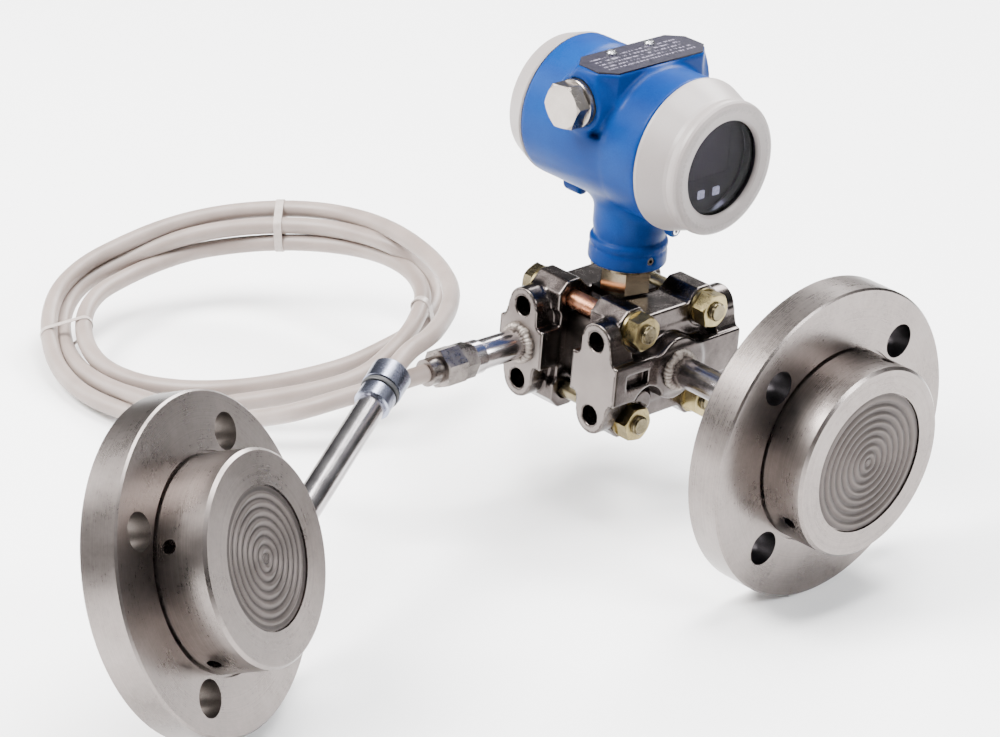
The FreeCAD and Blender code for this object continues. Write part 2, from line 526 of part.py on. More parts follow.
def try_fillet(shape, pick, radii, label):
    edges = [e for e in shape.Edges if pick(e)]
    if not edges:
        print("fillet", label, "no edges")
        return shape
    for r in radii:
        try:
            s = shape.makeFillet(r, edges)
            s = solid(s)
            if s.isValid() and s.ShapeType == "Solid" and abs(s.Volume - shape.Volume) < 0.06 * shape.Volume:
                print("fillet", label, r, "edges", len(edges))
                return s
        except Exception as exc:
            pass
    # one at a time when they can't be done together
    done = 0
    for e in edges:
        c = e.CenterOfMass
        for r in radii:
            cand = [k for k in shape.Edges if (k.CenterOfMass - c).Length < 0.05 and abs(k.Length - e.Length) < 0.05]
            if not cand:
                break
            try:
                s = solid(shape.makeFillet(r, cand[:1]))
                if s.isValid() and s.ShapeType == "Solid":
                    shape = s
                    done += 1
                    break
            except Exception as exc:
                pass
    print("fillet", label, "single edges done", done, "of", len(edges))
    return shape


def on_drum(p, tol=0.3):
    r = math.hypot(p.y, p.z - zc)
    return 33.5 < r < 40.2 and -30 < p.x < 30


def mid(e):
    a, b = e.ParameterRange
    return e.valueAt((a + b) / 2)


outer = try_fillet(outer, lambda e: abs(mid(e).z - PLATE_Z) < 0.05 and e.BoundBox.ZLength < 0.1, (0.8, 0.5), "pad rim")

# chambers, passages and bores
inner = fuse(cyl((13.0, 0, zc), (1, 0, 0), BORE_R, 30.0), cyl((9.0, 0, zc), (1, 0, 0), 29.5, 10.0))
rear = fuse(cyl((-23.0, 0, zc), (-1, 0, 0), BORE_R, 40.0), cyl((5.0, 0, zc), (-1, 0, 0), 29.5, 40.0))
house = outer.cut(inner).cut(rear)
house = house.cut(cyl((7.0 - 4, 0, zc - 12), (1, 0, 0), 5.0, 10.0))
house = house.cut(cyl((0, 0, COLLAR_Z0 - 1), (0, 0, 1), SPIGOT_R + SPIGOT_GAP, 62.4 - COLLAR_Z0 + 1))
house = house.cut(cyl((-1.0, 0, 60.0), (0, 0, 1), 5.5, 32.0))
for sy in (-1, 1):
    house = house.cut(cyl((ENTRY_X, sy * (ENTRY_Y + 1), ENTRY_Z), (0, -sy, 0), ENTRY_BORE_R, 14.0))
    house = house.cut(cyl((ENTRY_X, sy * ENTRY_Y, ENTRY_Z), (0, -sy, 0), 7.0, 30.0))
    # shallow counterbore for the gasket
    house = house.cut(cyl((ENTRY_X, sy * (ENTRY_Y + 1), ENTRY_Z), (0, -sy, 0), 12.6, 1.6))
SET_D = V(20.3, -3.0, 0)
SET_D.normalize()
house = house.cut(cyl(V(0, 0, 52.0) + SET_D * 10, SET_D, 2.05, 14.0))
# lock screw holes
house = house.cut(cyl((26.0, -3.0, 74.6), (1, 0, 0), 2.05, 12.0))
house = house.cut(cyl((-48.0, -3.0, 74.6), (1, 0, 0), 2.05, 14.0))
# nameplate screw holes
NS_X, NS_Y = -11.4, 13.6
for sy in (-1, 1):
    house = house.cut(cyl((NS_X, sy * NS_Y, PLATE_Z + 1), (0, 0, -1), 1.6, 7.0))
house = solid(house)
write("head_housing", house)

# ---------------------------------------------------------------- fittings of the head
npl = octagon(-16.8, 10.9, 38.2, 7.0, 8.0, PLATE_Z).extrude(V(0, 0, 0.8))
npl = solid(npl)
for sy in (-1, 1):
    npl = solid(npl.cut(cyl((NS_X, sy * NS_Y, PLATE_Z - 1), (0, 0, 1), 1.7, 4)))
write("nameplate", npl)
sc = []
for sy in (-1, 1):
    s = revolve([(0, -5.0), (1.5, -5.0), (1.5, 0.8), (2.9, 0.8), (2.9, 1.7), (2.0, 2.6), (0, 2.8)], (NS_X, sy * NS_Y, PLATE_Z), (0, 0, 1))
    s = s.cut(box(NS_X - 3, NS_X + 3, sy * NS_Y - 0.35, sy * NS_Y + 0.35, PLATE_Z + 1.9, PLATE_Z + 4))
    sc.append(solid(s))
write("nameplate_screws", group(sc))

plug = fuse(revolve([(0, 28.5), (8.6, 28.5), (9.15, 29.2), (9.15, 40.0), (0, 40.0)], (ENTRY_X, 0, ENTRY_Z), (0, -1, 0)),
            revolve([(0, 40.9), (12.2, 40.9), (12.6, 41.3), (12.6, 43.4), (12.2, 43.8), (10.6, 44.2), (0, 44.2)], (ENTRY_X, 0, ENTRY_Z), (0, -1, 0)),
            cyl((ENTRY_X, -39.5, ENTRY_Z), (0, -1, 0), 9.15, 2.0),
            hexagon((ENTRY_X, -44.0, ENTRY_Z), (0, -1, 0), 22.0, 8.0, 8.0, 1.0))
write("entry_plug", plug)
gasket = revolve([(9.2, 39.4), (12.4, 39.4), (12.4, 40.9), (9.2, 40.9)], (ENTRY_X, 0, ENTRY_Z), (0, -1, 0))
write("entry_plug_gasket", gasket)

electronics = fuse(cyl((13.0, 0, zc), (1, 0, 0), 28.8, 10.0), box(23.0, 29.0, -18, 18, zc - 16, zc + 18))
write("electronics_module", electronics)

# display: round frame in front of the electronics with a screen, bored for two push-buttons
BTN = [(-1.1, 98.7), (9.9, 98.5)]
BTN_W, BTN_GAP, BTN_TRAVEL = 4.2, 0.25, 0.6
disp = fuse(cyl((29.0, 0, zc), (1, 0, 0), 26.5, 10.5), cyl((39.5, 0, zc), (1, 0, 0), 27.5, 6.5))
disp = disp.cut(box(44.8, 47.0, -17, 17, zc - 9, zc + 15))
for (by, bz) in BTN:
    w = BTN_W / 2 + BTN_GAP
    disp = disp.cut(box(40.0, 47.0, by - w, by + w, bz - w, bz + w))
disp = solid(disp)
write("display_module", disp)
screen = box(44.9, 45.8, -16.7, 16.7, zc - 8.7, zc + 14.7)
write("display_screen", screen)
for nm, (by, bz) in zip(("button_left", "button_right"), BTN):
    w = BTN_W / 2
    b = fuse(box(41.4, 46.6, by - w, by + w, bz - w, bz + w), box(46.6, 47.0, by - w + 0.4, by + w - 0.4, bz - w + 0.4, bz + w - 0.4))
    write(nm, b)

tb = box(-10.0, 5.0, -22, 22, zc - 18, zc + 6)
tscrews = []
for i in range(3):
    y = -13.0 + 13.0 * i
    z = zc - 6
    tb = tb.cut(cyl((-11, y, z), (1, 0, 0), 2.1, 10))
    tb = tb.cut(box(-11, -4, y - 2.6, y + 2.6, zc - 19, zc - 13.0))
    s = revolve([(0, 1.2), (1.9, 1.2), (1.9, 10.0), (3.8, 10.0), (3.8, 12.2), (0, 12.2)], (0, y, z), (-1, 0, 0))
    s = s.cut(box(-13, -11.4, y - 0.5, y + 0.5, z - 5, z + 5))
    tscrews.append(solid(s))
write("terminal_block", solid(tb))
write("terminal_screws", group(tscrews))

lock_f = revolve([(0, 26.5), (1.95, 26.5), (1.95, 35.0), (0, 35.0)], (0, -3.0, 74.6), (1, 0, 0))
lock_f = lock_f.cut(hexagon((33.2, -3.0, 74.6), (1, 0, 0), 2.0, 3.0))
lock_r = revolve([(0, 35.0), (1.95, 35.0), (1.95, 44.0), (0, 44.0)], (0, -3.0, 74.6), (-1, 0, 0))
lock_r = lock_r.cut(hexagon((-42.2, -3.0, 74.6), (-1, 0, 0), 2.0, 3.0))
write("cover_lock_screws", group([solid(lock_f), solid(lock_r)]))

setscrew = cyl(V(0, 0, 52.0) + SET_D * 13.45, SET_D, 1.95, 6.2)
setscrew = setscrew.cut(hexagon(V(0, 0, 52.0) + SET_D * 17.6, SET_D, 2.0, 4.0))
write("neck_set_screw", solid(setscrew))

# ---------------------------------------------------------------- display cover
cf = RIM_F + COVER_GAP
cover = revolve([(30.5, 23.0), (SKIRT_R, 23.0), (SKIRT_R, 30.6), (31.9, 30.6), (31.9, 33.0), (SKIRT_R, 33.0), (SKIRT_R, cf),
                 (39.7, cf), (40.4, cf + 0.7), (40.3, 37.6), (36.6, 48.0), (35.4, 51.4), (35.0, 53.6), (35.4, 55.4),
                 (35.6, 57.0), (35.4, 58.6), (34.6, 59.8), (33.2, 60.5), (31.0, 60.7), (26.6, 60.0), (25.6, 59.4), (25.2, 58.6),
                 (25.2, 57.6), (28.4, 57.6), (28.4, 52.0), (29.1, 52.0), (29.1, 48.2), (30.5, 46.0)],
                (0, 0, zc), (1, 0, 0))
write("display_cover", cover)
glass = revolve([(0, 52.0), (28.2, 52.0), (28.2, 57.0), (0, 57.0)], (0, 0, zc), (1, 0, 0))
write("window_glass", glass)
write("window_gasket", revolve([(25.4, 57.0), (28.2, 57.0), (28.2, 57.6), (25.4, 57.6)], (0, 0, zc), (1, 0, 0)))
write("window_retaining_ring", revolve([(25.5, 49.0), (29.05, 49.0), (29.05, 52.0), (25.5, 52.0)], (0, 0, zc), (1, 0, 0)))


def oring(x, rc, rs):
    t = Part.makeTorus(rc, rs, V(x, 0, zc), X)
    return solid(t)


write("display_cover_oring", oring(31.8, 32.8, 0.88))

# ---------------------------------------------------------------- rear cover
cr = RIM_R - COVER_GAP
rcov = revolve([(0, -60.2), (26.0, -60.2), (27.0, -60.6), (33.0, -60.6), (34.3, -60.0), (34.9, -58.8), (38.2, -49.6), (38.4, cr - 0.8),
                (37.8, cr), (SKIRT_R, cr), (SKIRT_R, -45.6), (31.9, -45.6), (31.9, -43.2), (SKIRT_R, -43.2), (SKIRT_R, -36.0),
                (30.5, -36.0), (30.5, -54.0), (28.0, -56.6), (0, -56.6)], (0, 0, zc), (1, 0, 0))
write("rear_cover", rcov)
write("rear_cover_oring", oring(-44.4, 32.8, 0.88))

print("nodes", len(WRITTEN), "bad", [w for w in WRITTEN if not w[3]])
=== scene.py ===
import bpy
import bmesh
import math
import numpy as np
import openvdb
from mathutils import Vector, Matrix, Quaternion


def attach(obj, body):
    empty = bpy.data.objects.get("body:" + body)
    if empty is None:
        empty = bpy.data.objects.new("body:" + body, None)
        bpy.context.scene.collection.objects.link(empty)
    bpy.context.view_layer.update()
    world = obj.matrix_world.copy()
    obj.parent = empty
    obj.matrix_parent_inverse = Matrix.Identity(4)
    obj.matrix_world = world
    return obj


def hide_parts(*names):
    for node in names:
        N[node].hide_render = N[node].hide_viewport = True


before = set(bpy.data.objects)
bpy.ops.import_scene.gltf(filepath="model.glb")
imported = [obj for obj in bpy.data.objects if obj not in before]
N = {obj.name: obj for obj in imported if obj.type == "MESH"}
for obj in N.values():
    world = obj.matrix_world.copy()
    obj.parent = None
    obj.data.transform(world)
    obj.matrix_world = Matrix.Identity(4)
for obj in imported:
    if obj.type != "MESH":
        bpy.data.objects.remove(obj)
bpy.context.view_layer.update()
SX = -149.7            # sketching frame (capsule centre) to row frame, mm
scene = bpy.context.scene


def P(p):
    return Vector(((p[0] + SX) / 1000, p[1] / 1000, p[2] / 1000))


def D(p):
    return Vector((p[0] / 1000, p[1] / 1000, p[2] / 1000))


# ------------------------------------------------------------------ camera
cam_data = bpy.data.cameras.new("camera")
cam_data.sensor_width = 36.0
cam_data.lens = 36.0 * 3636.935 / 1000
cam_data.clip_end = 50
cam_obj = bpy.data.objects.new("camera", cam_data)
scene.collection.objects.link(cam_obj)
R_ROWS = ((0.68512003, 0.72463509, 0.07425983), (-0.35434902, 0.24247427, 0.90312956), (0.63643328, -0.64506605, 0.42289771))
cx0 = (618.92034 - 500.0) * 1905.22544 / 3636.93503
cy0 = -(339.09085 - 368.5) * 1905.22544 / 3636.93503
loc = [sum(R_ROWS[i][k] * (-cx0, -cy0, 1905.22544)[i] for i in range(3)) for k in range(3)]
mw = Matrix(((R_ROWS[0][0], R_ROWS[1][0], R_ROWS[2][0], 0), (R_ROWS[0][1], R_ROWS[1][1], R_ROWS[2][1], 0),
             (R_ROWS[0][2], R_ROWS[1][2], R_ROWS[2][2], 0), (0, 0, 0, 1)))
mw.translation = P(loc)
cam_obj.matrix_world = mw
scene.camera = cam_obj

# ------------------------------------------------------------------ capillary
CAP_D = 9.6
ROUTE = [(-27, -113, 0), (-27, -136.7, 0), (-35.9, -159.8, -4.5), (-52.3, -176, -14.6), (-74.2, -175.6, -26.4),
         (-96.1, -177.8, -36.6), (-118.8, -174.1, -45.2), (-141.8, -170.7, -52.5), (-165.4, -168.9, -58.3),
         (-189, -166.5, -63.8), (-212.9, -165.4, -68.8), (-237.2, -163.8, -70.9), (-260.8, -157.7, -71),
         (-282.7, -146.8, -70.1), (-302, -132.3, -65.3), (-313.1, -111.6, -57.2), (-310.7, -88.1, -50),
         (-305.2, -65.5, -42.4), (-296.1, -43.7, -36.3), (-282.7, -23.7, -32.1), (-266, -6.2, -28.7),
         (-245.6, 7.2, -25.7), (-222.2, 13.7, -22.7), (-197, 11.3, -18), (-178.8, 20.8, -24.3), (-156.4, 17.7, -33.5),
         (-140.3, -1.3, -38), (-130.9, -23.7, -40.5), (-127.9, -47.9, -42.5), (-129.1, -72.1, -46.6),
         (-137.8, -94.6, -50.8), (-150.8, -114.8, -55.5), (-167.2, -132.6, -59.5), (-188.3, -144.2, -64),
         (-211, -152.8, -66.8), (-235.4, -156, -66.7), (-259, -149.6, -63.6), (-279, -136.1, -58.2),
         (-292.9, -116.2, -54.6), (-299, -92.4, -53.3), (-302, -68.2, -51.5), (-297.3, -44.4, -47.6),
         (-284, -24.1, -43.5), (-266.3, -7.8, -39.1), (-245.9, 5.1, -35.4), (-223.6, 15.2, -32.7), (-199.5, 15.9, -29),
         (-175.1, 13.3, -28.1), (-152.9, 3, -29.4), (-135.3, -14.2, -29.9), (-122.4, -34.6, -33.9),
         (-113.7, -57, -38.2), (-107.8, -80.7, -42.4), (-116.1, -103.5, -47.5), (-130.3, -122.7, -52.5),
         (-147.1, -139.5, -58), (-160.6, -159.7, -63.8), (-181.9, -168.7, -72), (-205.8, -174.1, -73.5),
         (-230.2, -174.5, -74.6), (-254.3, -170.6, -72.3), (-276.3, -160.6, -68), (-295.4, -147.1, -61),
         (-310.9, -129, -54.5), (-316, -106.3, -46.3), (-312.2, -83.2, -39), (-308.3, -59.8, -33.4),
         (-301.2, -36.7, -29.3), (-288.8, -15.9, -25.6), (-272, 1.6, -22.2), (-251.1, 14.2, -19.1),
         (-227.2, 18.8, -15.8), (-203.2, 16.2, -11.9), (-179.8, 10.3, -8.4), (-156.4, 3.4, -6.5), (-134.2, -6.4, -4.3),
         (-113.4, -18.9, -1.2), (-94, -33.3, 2.3), (-76.5, -49.9, 5.8), (-60.4, -67.8, 9.4), (-45.6, -86.8, 13.3),
         (-31.8, -106.6, 16.8), (-18.5, -136.4, 20.9), (-12.2, -150.2, 16)]


def route_curve(name, bevel):
    cu = bpy.data.curves.new(name, "CURVE")
    cu.dimensions = "3D"
    sp = cu.splines.new("NURBS")
    sp.points.add(len(ROUTE) - 1)
    for q, p in zip(sp.points, ROUTE):
        w = P(p)
        q.co = (w.x, w.y, w.z, 1.0)
    sp.order_u = 3
    sp.use_endpoint_u = True
    cu.resolution_u = 10
    if bevel:
        cu.bevel_depth = CAP_D / 2000
        cu.bevel_resolution = 7
        cu.use_fill_caps = True
    o = bpy.data.objects.new(name, cu)
    scene.collection.objects.link(o)
    return o


# ------------------------------------------------------------------ materials
def new_mat(name):
    m = bpy.data.materials.new(name)
    m.use_nodes = True
    nt = m.node_tree
    b = next(n for n in nt.nodes if n.type == "BSDF_PRINCIPLED")
    return m, nt, b


def coords(nt, scale=(1, 1, 1), rot=(0, 0, 0)):
    tc = nt.nodes.new("ShaderNodeTexCoord")
    mp = nt.nodes.new("ShaderNodeMapping")
    mp.inputs["Scale"].default_value = scale
    mp.inputs["Rotation"].default_value = rot
    nt.links.new(tc.outputs["Object"], mp.inputs["Vector"])
    return mp.outputs["Vector"]


def noise(nt, vec, scale, detail=3.0, rough=0.5, dist=0.0):
    n = nt.nodes.new("ShaderNodeTexNoise")
    n.inputs["Scale"].default_value = scale
    n.inputs["Detail"].default_value = detail
    n.inputs["Roughness"].default_value = rough
    n.inputs["Distortion"].default_value = dist
    nt.links.new(vec, n.inputs["Vector"])
    return n.outputs["Fac"]


def ramp(nt, fac, stops):
    r = nt.nodes.new("ShaderNodeValToRGB")
    e = r.color_ramp.elements
    while len(e) < len(stops):
        e.new(0.5)
    for k, (pos, col) in enumerate(stops):
        e[k].position = pos
        e[k].color = (*col, 1.0) if len(col) == 3 else col
    nt.links.new(fac, r.inputs["Fac"])
    return r.outputs["Color"]


def remap(nt, fac, a, b, lo, hi):
    r = nt.nodes.new("ShaderNodeMapRange")
    r.inputs["From Min"].default_value = a
    r.inputs["From Max"].default_value = b
    r.inputs["To Min"].default_value = lo
    r.inputs["To Max"].default_value = hi
    nt.links.new(fac, r.inputs["Value"])
    return r.outputs["Result"]


def math_node(nt, op, a, b=None, clamp=False):
    n = nt.nodes.new("ShaderNodeMath")
    n.operation = op
    n.use_clamp = clamp
    for i, v in enumerate((a, b)):
        if v is None:
            continue
        if isinstance(v, (int, float)):
            n.inputs[i].default_value = v
        else:
            nt.links.new(v, n.inputs[i])
    return n.outputs["Value"]


def bump(nt, height, strength, distance, normal=None):
    b = nt.nodes.new("ShaderNodeBump")
    b.inputs["Strength"].default_value = strength
    b.inputs["Distance"].default_value = distance
    nt.links.new(height, b.inputs["Height"])
    if normal is not None:
        nt.links.new(normal, b.inputs["Normal"])
    return b.outputs["Normal"]


def mix_rgb(nt, fac, a, b, mode="MIX"):
    m = nt.nodes.new("ShaderNodeMix")
    m.data_type = "RGBA"
    m.blend_type = mode
    for key, v in ((0, fac), (6, a), (7, b)):
        if isinstance(v, (int, float)):
            m.inputs[key].default_value = v
        elif isinstance(v, (tuple, list)):
            m.inputs[key].default_value = (*v, 1.0) if len(v) == 3 else v
        else:
            nt.links.new(v, m.inputs[key])
    return m.outputs[2]


def metal_mat(name, dark, light, rough=(0.22, 0.38), grain=1.0, scale=(1, 1, 1), bumpd=0.00002, aniso=0.0, spots=0.0, blotch=60.0):
    """Satin or turned metal: blotchy tone, fine grain, small variations of gloss."""
    m, nt, b = new_mat(name)
    v = coords(nt)
    vg = coords(nt, scale)
    big = noise(nt, v, blotch, 4, 0.55)
    fine = noise(nt, vg, 2600, 4, 0.65)
    both = math_node(nt, "ADD", math_node(nt, "MULTIPLY", big, 0.6), math_node(nt, "MULTIPLY", fine, 0.4 * grain))
    col = ramp(nt, both, [(0.3, dark), (0.72, light)])
    nt.links.new(col, b.inputs["Base Color"])
    b.inputs["Metallic"].default_value = 1.0
    nt.links.new(remap(nt, both, 0.25, 0.75, rough[0], rough[1]), b.inputs["Roughness"])
    if aniso:
        b.inputs["Anisotropic"].default_value = aniso
    nt.links.new(bump(nt, fine, 0.35 * grain, bumpd), b.inputs["Normal"])
    return m


def paint_mat(name, dark, mid, light, rough=(0.3, 0.42), peel=0.25, coat=0.25):
    m, nt, b = new_mat(name)
    v = coords(nt)
    big = noise(nt, v, 25, 3, 0.5)
    fine = noise(nt, v, 1400, 3, 0.6)
    mixv = math_node(nt, "ADD", math_node(nt, "MULTIPLY", big, 0.65), math_node(nt, "MULTIPLY", fine, 0.35))
    col = ramp(nt, mixv, [(0.3, dark), (0.5, mid), (0.72, light)])
    nt.links.new(col, b.inputs["Base Color"])
    nt.links.new(remap(nt, fine, 0.3, 0.7, rough[0], rough[1]), b.inputs["Roughness"])
    b.inputs["Coat Weight"].default_value = coat
    b.inputs["Coat Roughness"].default_value = 0.22
    nt.links.new(bump(nt, noise(nt, v, 750, 3, 0.55), peel, 0.00012), b.inputs["Normal"])
    return m


def vmath(nt, op, a, b=None):
    n = nt.nodes.new("ShaderNodeVectorMath")
    n.operation = op
    for i, v in enumerate((a, b)):
        if v is None:
            continue
        if isinstance(v, (tuple, list, Vector)):
            n.inputs[i].default_value = tuple(v)
        else:
            nt.links.new(v, n.inputs[i])
    return n.outputs["Value"] if op in ("DOT_PRODUCT", "LENGTH", "DISTANCE") else n.outputs["Vector"]


def scale_vec(nt, a, f):
    n = nt.nodes.new("ShaderNodeVectorMath")
    n.operation = "SCALE"
    nt.links.new(a, n.inputs[0])
    if isinstance(f, (int, float)):
        n.inputs["Scale"].default_value = f
    else:
        nt.links.new(f, n.inputs["Scale"])
    return n.outputs["Vector"]


def pointy(nt, a, b, lo, hi):
    g = nt.nodes.new("ShaderNodeNewGeometry")
    return remap(nt, g.outputs["Pointiness"], a, b, lo, hi)


def turned_mat(name, c, n, dark, light, rough=(0.23, 0.35), aniso=0.6, groove=1500.0, ridge=None, bumpd=0.000012):
    """Steel turned on a lathe about the axis (c, n): grooves and gloss run round the axis. With ridge, lighter and
    darker rings at that pitch are painted shading of the corrugations.
    """
    m, nt, b = new_mat(name)
    n = tuple(Vector(n).normalized())
    v = coords(nt)
    rel = vmath(nt, "SUBTRACT", v, tuple(c))
    h = vmath(nt, "DOT_PRODUCT", rel, n)
    nn = nt.nodes.new("ShaderNodeCombineXYZ")
    for k in range(3):
        nn.inputs[k].default_value = n[k]
    radial = vmath(nt, "SUBTRACT", rel, scale_vec(nt, nn.outputs["Vector"], h))
    r = vmath(nt, "LENGTH", radial)
    tang = vmath(nt, "NORMALIZE", vmath(nt, "CROSS_PRODUCT", nn.outputs["Vector"], rel))
    cz = nt.nodes.new("ShaderNodeCombineXYZ")
    nt.links.new(r, cz.inputs[0])
    nt.links.new(h, cz.inputs[1])
    fine = noise(nt, cz.outputs["Vector"], groove, 4, 0.65)
    big = noise(nt, v, 38, 4, 0.6)
    mid = noise(nt, v, 420, 4, 0.65)
    f = math_node(nt, "ADD", math_node(nt, "MULTIPLY", big, 0.45), math_node(nt, "ADD", math_node(nt, "MULTIPLY", fine, 0.35),
                                                                              math_node(nt, "MULTIPLY", mid, 0.2)))
    # ridge: painted shading of the diaphragm's corrugations, as lighter and darker rings at that pitch
    if ridge:
        w = math_node(nt, "COSINE", math_node(nt, "MULTIPLY", r, 2 * math.pi / ridge))
        f = math_node(nt, "ADD", math_node(nt, "MULTIPLY", f, 0.55), remap(nt, w, -1, 1, 0.08, 0.36))
    nt.links.new(ramp(nt, f, [(0.32, dark), (0.68, light)]), b.inputs["Base Color"])
    b.inputs["Metallic"].default_value = 1.0
    nt.links.new(remap(nt, f, 0.3, 0.7, rough[0], rough[1]), b.inputs["Roughness"])
    b.inputs["Anisotropic"].default_value = aniso
    nt.links.new(tang, b.inputs["Tangent"])
    nt.links.new(bump(nt, fine, 0.5, bumpd), b.inputs["Normal"])
    return m


MAT = {}
RN = Vector((0.8603, 0.3508, 0.3699)).normalized()
LOW_C, REM_C = Vector((0.0, 0.0, 0.0)), P((67.75, -326.70, -0.73))


def build_mats():
    # paint: painted highlight on the edges, painted shade in the hollows, both taken from pointiness
    m = paint_mat("paint_blue", (0.0002, 0.015, 0.092), (0.0003, 0.024, 0.130), (0.0008, 0.040, 0.182), (0.36, 0.48), 0.3, 0.02)
    nt = m.node_tree
    b = next(n for n in nt.nodes if n.type == "BSDF_PRINCIPLED")
    base = b.inputs["Base Color"].links[0].from_socket
    # painted shade in concave places, then a painted highlight on convex edges
    dk = mix_rgb(nt, pointy(nt, 0.40, 0.49, 0.75, 0.0), base, (0.0002, 0.014, 0.080))
    lt = mix_rgb(nt, pointy(nt, 0.53, 0.62, 0.0, 0.55), dk, (0.010, 0.140, 0.420))
    b.inputs["Specular IOR Level"].default_value = 0.07
    nt.links.new(lt, b.inputs["Base Color"])
    MAT["blue"] = m
    MAT["grey"] = paint_mat("paint_grey", (0.218, 0.193, 0.186), (0.248, 0.220, 0.211), (0.282, 0.250, 0.241), (0.4, 0.52), 0.2, 0.1)
    m = MAT["grey"]
    nt = m.node_tree
    b = next(n for n in nt.nodes if n.type == "BSDF_PRINCIPLED")
    v = coords(nt)
    base = b.inputs["Base Color"].links[0].from_socket
    rel = vmath(nt, "SUBTRACT", v, (SX / 1000, 0, 0.1167))
    flat = vmath(nt, "MULTIPLY", rel, (0, 1, 1))
    rr = vmath(nt, "LENGTH", flat)
    cmp_r = nt.nodes.new("ShaderNodeMath")
    cmp_r.operation = "COMPARE"
    nt.links.new(rr, cmp_r.inputs[0])
    cmp_r.inputs[1].default_value = 0.0312
    cmp_r.inputs[2].default_value = 0.0014
    sx = nt.nodes.new("ShaderNodeSeparateXYZ")
    nt.links.new(rel, sx.inputs[0])
    frontside = math_node(nt, "GREATER_THAN", sx.outputs[0], 0.055)
    marks = math_node(nt, "GREATER_THAN", noise(nt, v, 620, 2, 0.6), 0.52)
    mk = math_node(nt, "MULTIPLY", math_node(nt, "MULTIPLY", cmp_r.outputs[0], frontside), marks)
    nt.links.new(mix_rgb(nt, math_node(nt, "MULTIPLY", mk, 0.32), base, (0.16, 0.14, 0.135)), b.inputs["Base Color"])
    d0, l0 = (0.135, 0.118, 0.110), (0.256, 0.225, 0.211)
    MAT["seal_low"] = turned_mat("steel_turned_low", LOW_C, (1, 0, 0), d0, l0)
    MAT["seal_rem"] = turned_mat("steel_turned_remote", REM_C, RN, d0, l0)
    # diaphragms: the rings at the 4.2 mm corrugation pitch are painted shading
    MAT["dia_low"] = turned_mat("diaphragm_low", LOW_C, (1, 0, 0), (0.046, 0.039, 0.037), (0.112, 0.096, 0.089), (0.42, 0.55), 0.3, 2200.0, 0.0042)
    MAT["dia_rem"] = turned_mat("diaphragm_remote", REM_C, RN, (0.046, 0.039, 0.037), (0.112, 0.096, 0.089), (0.42, 0.55), 0.3, 2200.0, 0.0042)
    # bolt-hole walls: darker steel, painted shade inside the holes
    MAT["hole_shade_painted_dark"] = metal_mat("steel_hole_dark", (0.012, 0.011, 0.013), (0.055, 0.05, 0.053), (0.3, 0.45), 1.2)
    MAT["hole_shade_painted_brown"] = metal_mat("steel_hole_brown", (0.045, 0.038, 0.034), (0.15, 0.13, 0.118), (0.3, 0.45), 1.2)
    MAT["dia"] = metal_mat("steel_diaphragm", (0.34, 0.31, 0.29), (0.52, 0.47, 0.44), (0.34, 0.46), 1.0)
    MAT["tube"] = turned_mat("steel_tube", (0.0, 0.0, 0.0), (1, 0, 0), (0.17, 0.155, 0.160), (0.42, 0.39, 0.39), (0.16, 0.26), 0.3, 700.0)
    MAT["rod"] = metal_mat("steel_rod", (0.36, 0.335, 0.34), (0.60, 0.57, 0.575), (0.18, 0.27), 0.7)
    MAT["weld"] = metal_mat("steel_weld", (0.055, 0.043, 0.038), (0.30, 0.265, 0.235), (0.28, 0.5), 1.6, (1, 1, 1), 0.0004, 0.0, 0.0, 260.0)
    m = metal_mat("steel_block", (0.022, 0.018, 0.017), (0.115, 0.098, 0.092), (0.16, 0.32), 1.1, (1, 1, 1), 0.00003, 0.0, 0.0, 90.0)
    nt = m.node_tree
    b = next(n for n in nt.nodes if n.type == "BSDF_PRINCIPLED")
    base = b.inputs["Base Color"].links[0].from_socket
    # painted shade in the hollows and a painted highlight on the edges, both from pointiness
    dk = mix_rgb(nt, pointy(nt, 0.40, 0.495, 0.9, 0.0), base, (0.012, 0.010, 0.010))
    lt = mix_rgb(nt, pointy(nt, 0.525, 0.60, 0.0, 0.6), dk, (0.42, 0.38, 0.34))
    nt.links.new(lt, b.inputs["Base Color"])
    MAT["block"] = m
    MAT["capsule"] = metal_mat("steel_capsule", (0.020, 0.016, 0.015), (0.085, 0.072, 0.066), (0.14, 0.3), 1.0)
    MAT["face"] = metal_mat("steel_machined_face", (0.165, 0.144, 0.134), (0.245, 0.216, 0.202), (0.5, 0.64), 1.0)
    MAT["neck"] = metal_mat("steel_neck", (0.055, 0.044, 0.030), (0.27, 0.225, 0.155), (0.12, 0.24), 0.8)
    MAT["copper"] = metal_mat("steel_copper_tint", (0.55, 0.28, 0.18), (0.80, 0.50, 0.36), (0.28, 0.42), 1.2)
    MAT["gland"] = metal_mat("steel_gland", (0.050, 0.042, 0.040), (0.25, 0.222, 0.205), (0.2, 0.34), 1.3, (1, 1, 1), 0.00003, 0.0, 0.0, 160.0)
    MAT["ferrule"] = metal_mat("steel_ferrule", (0.13, 0.14, 0.20), (0.36, 0.38, 0.47), (0.2, 0.34), 1.0)
    MAT["plug"] = metal_mat("steel_plug", (0.21, 0.185, 0.165), (0.42, 0.380, 0.345), (0.2, 0.32), 1.0)
    MAT["fill"] = metal_mat("steel_fill_plug", (0.035, 0.030, 0.028), (0.15, 0.13, 0.12), (0.2, 0.34), 1.0)
    MAT["screw"] = metal_mat("steel_screw", (0.50, 0.50, 0.52), (0.80, 0.80, 0.82), (0.2, 0.3), 0.8)
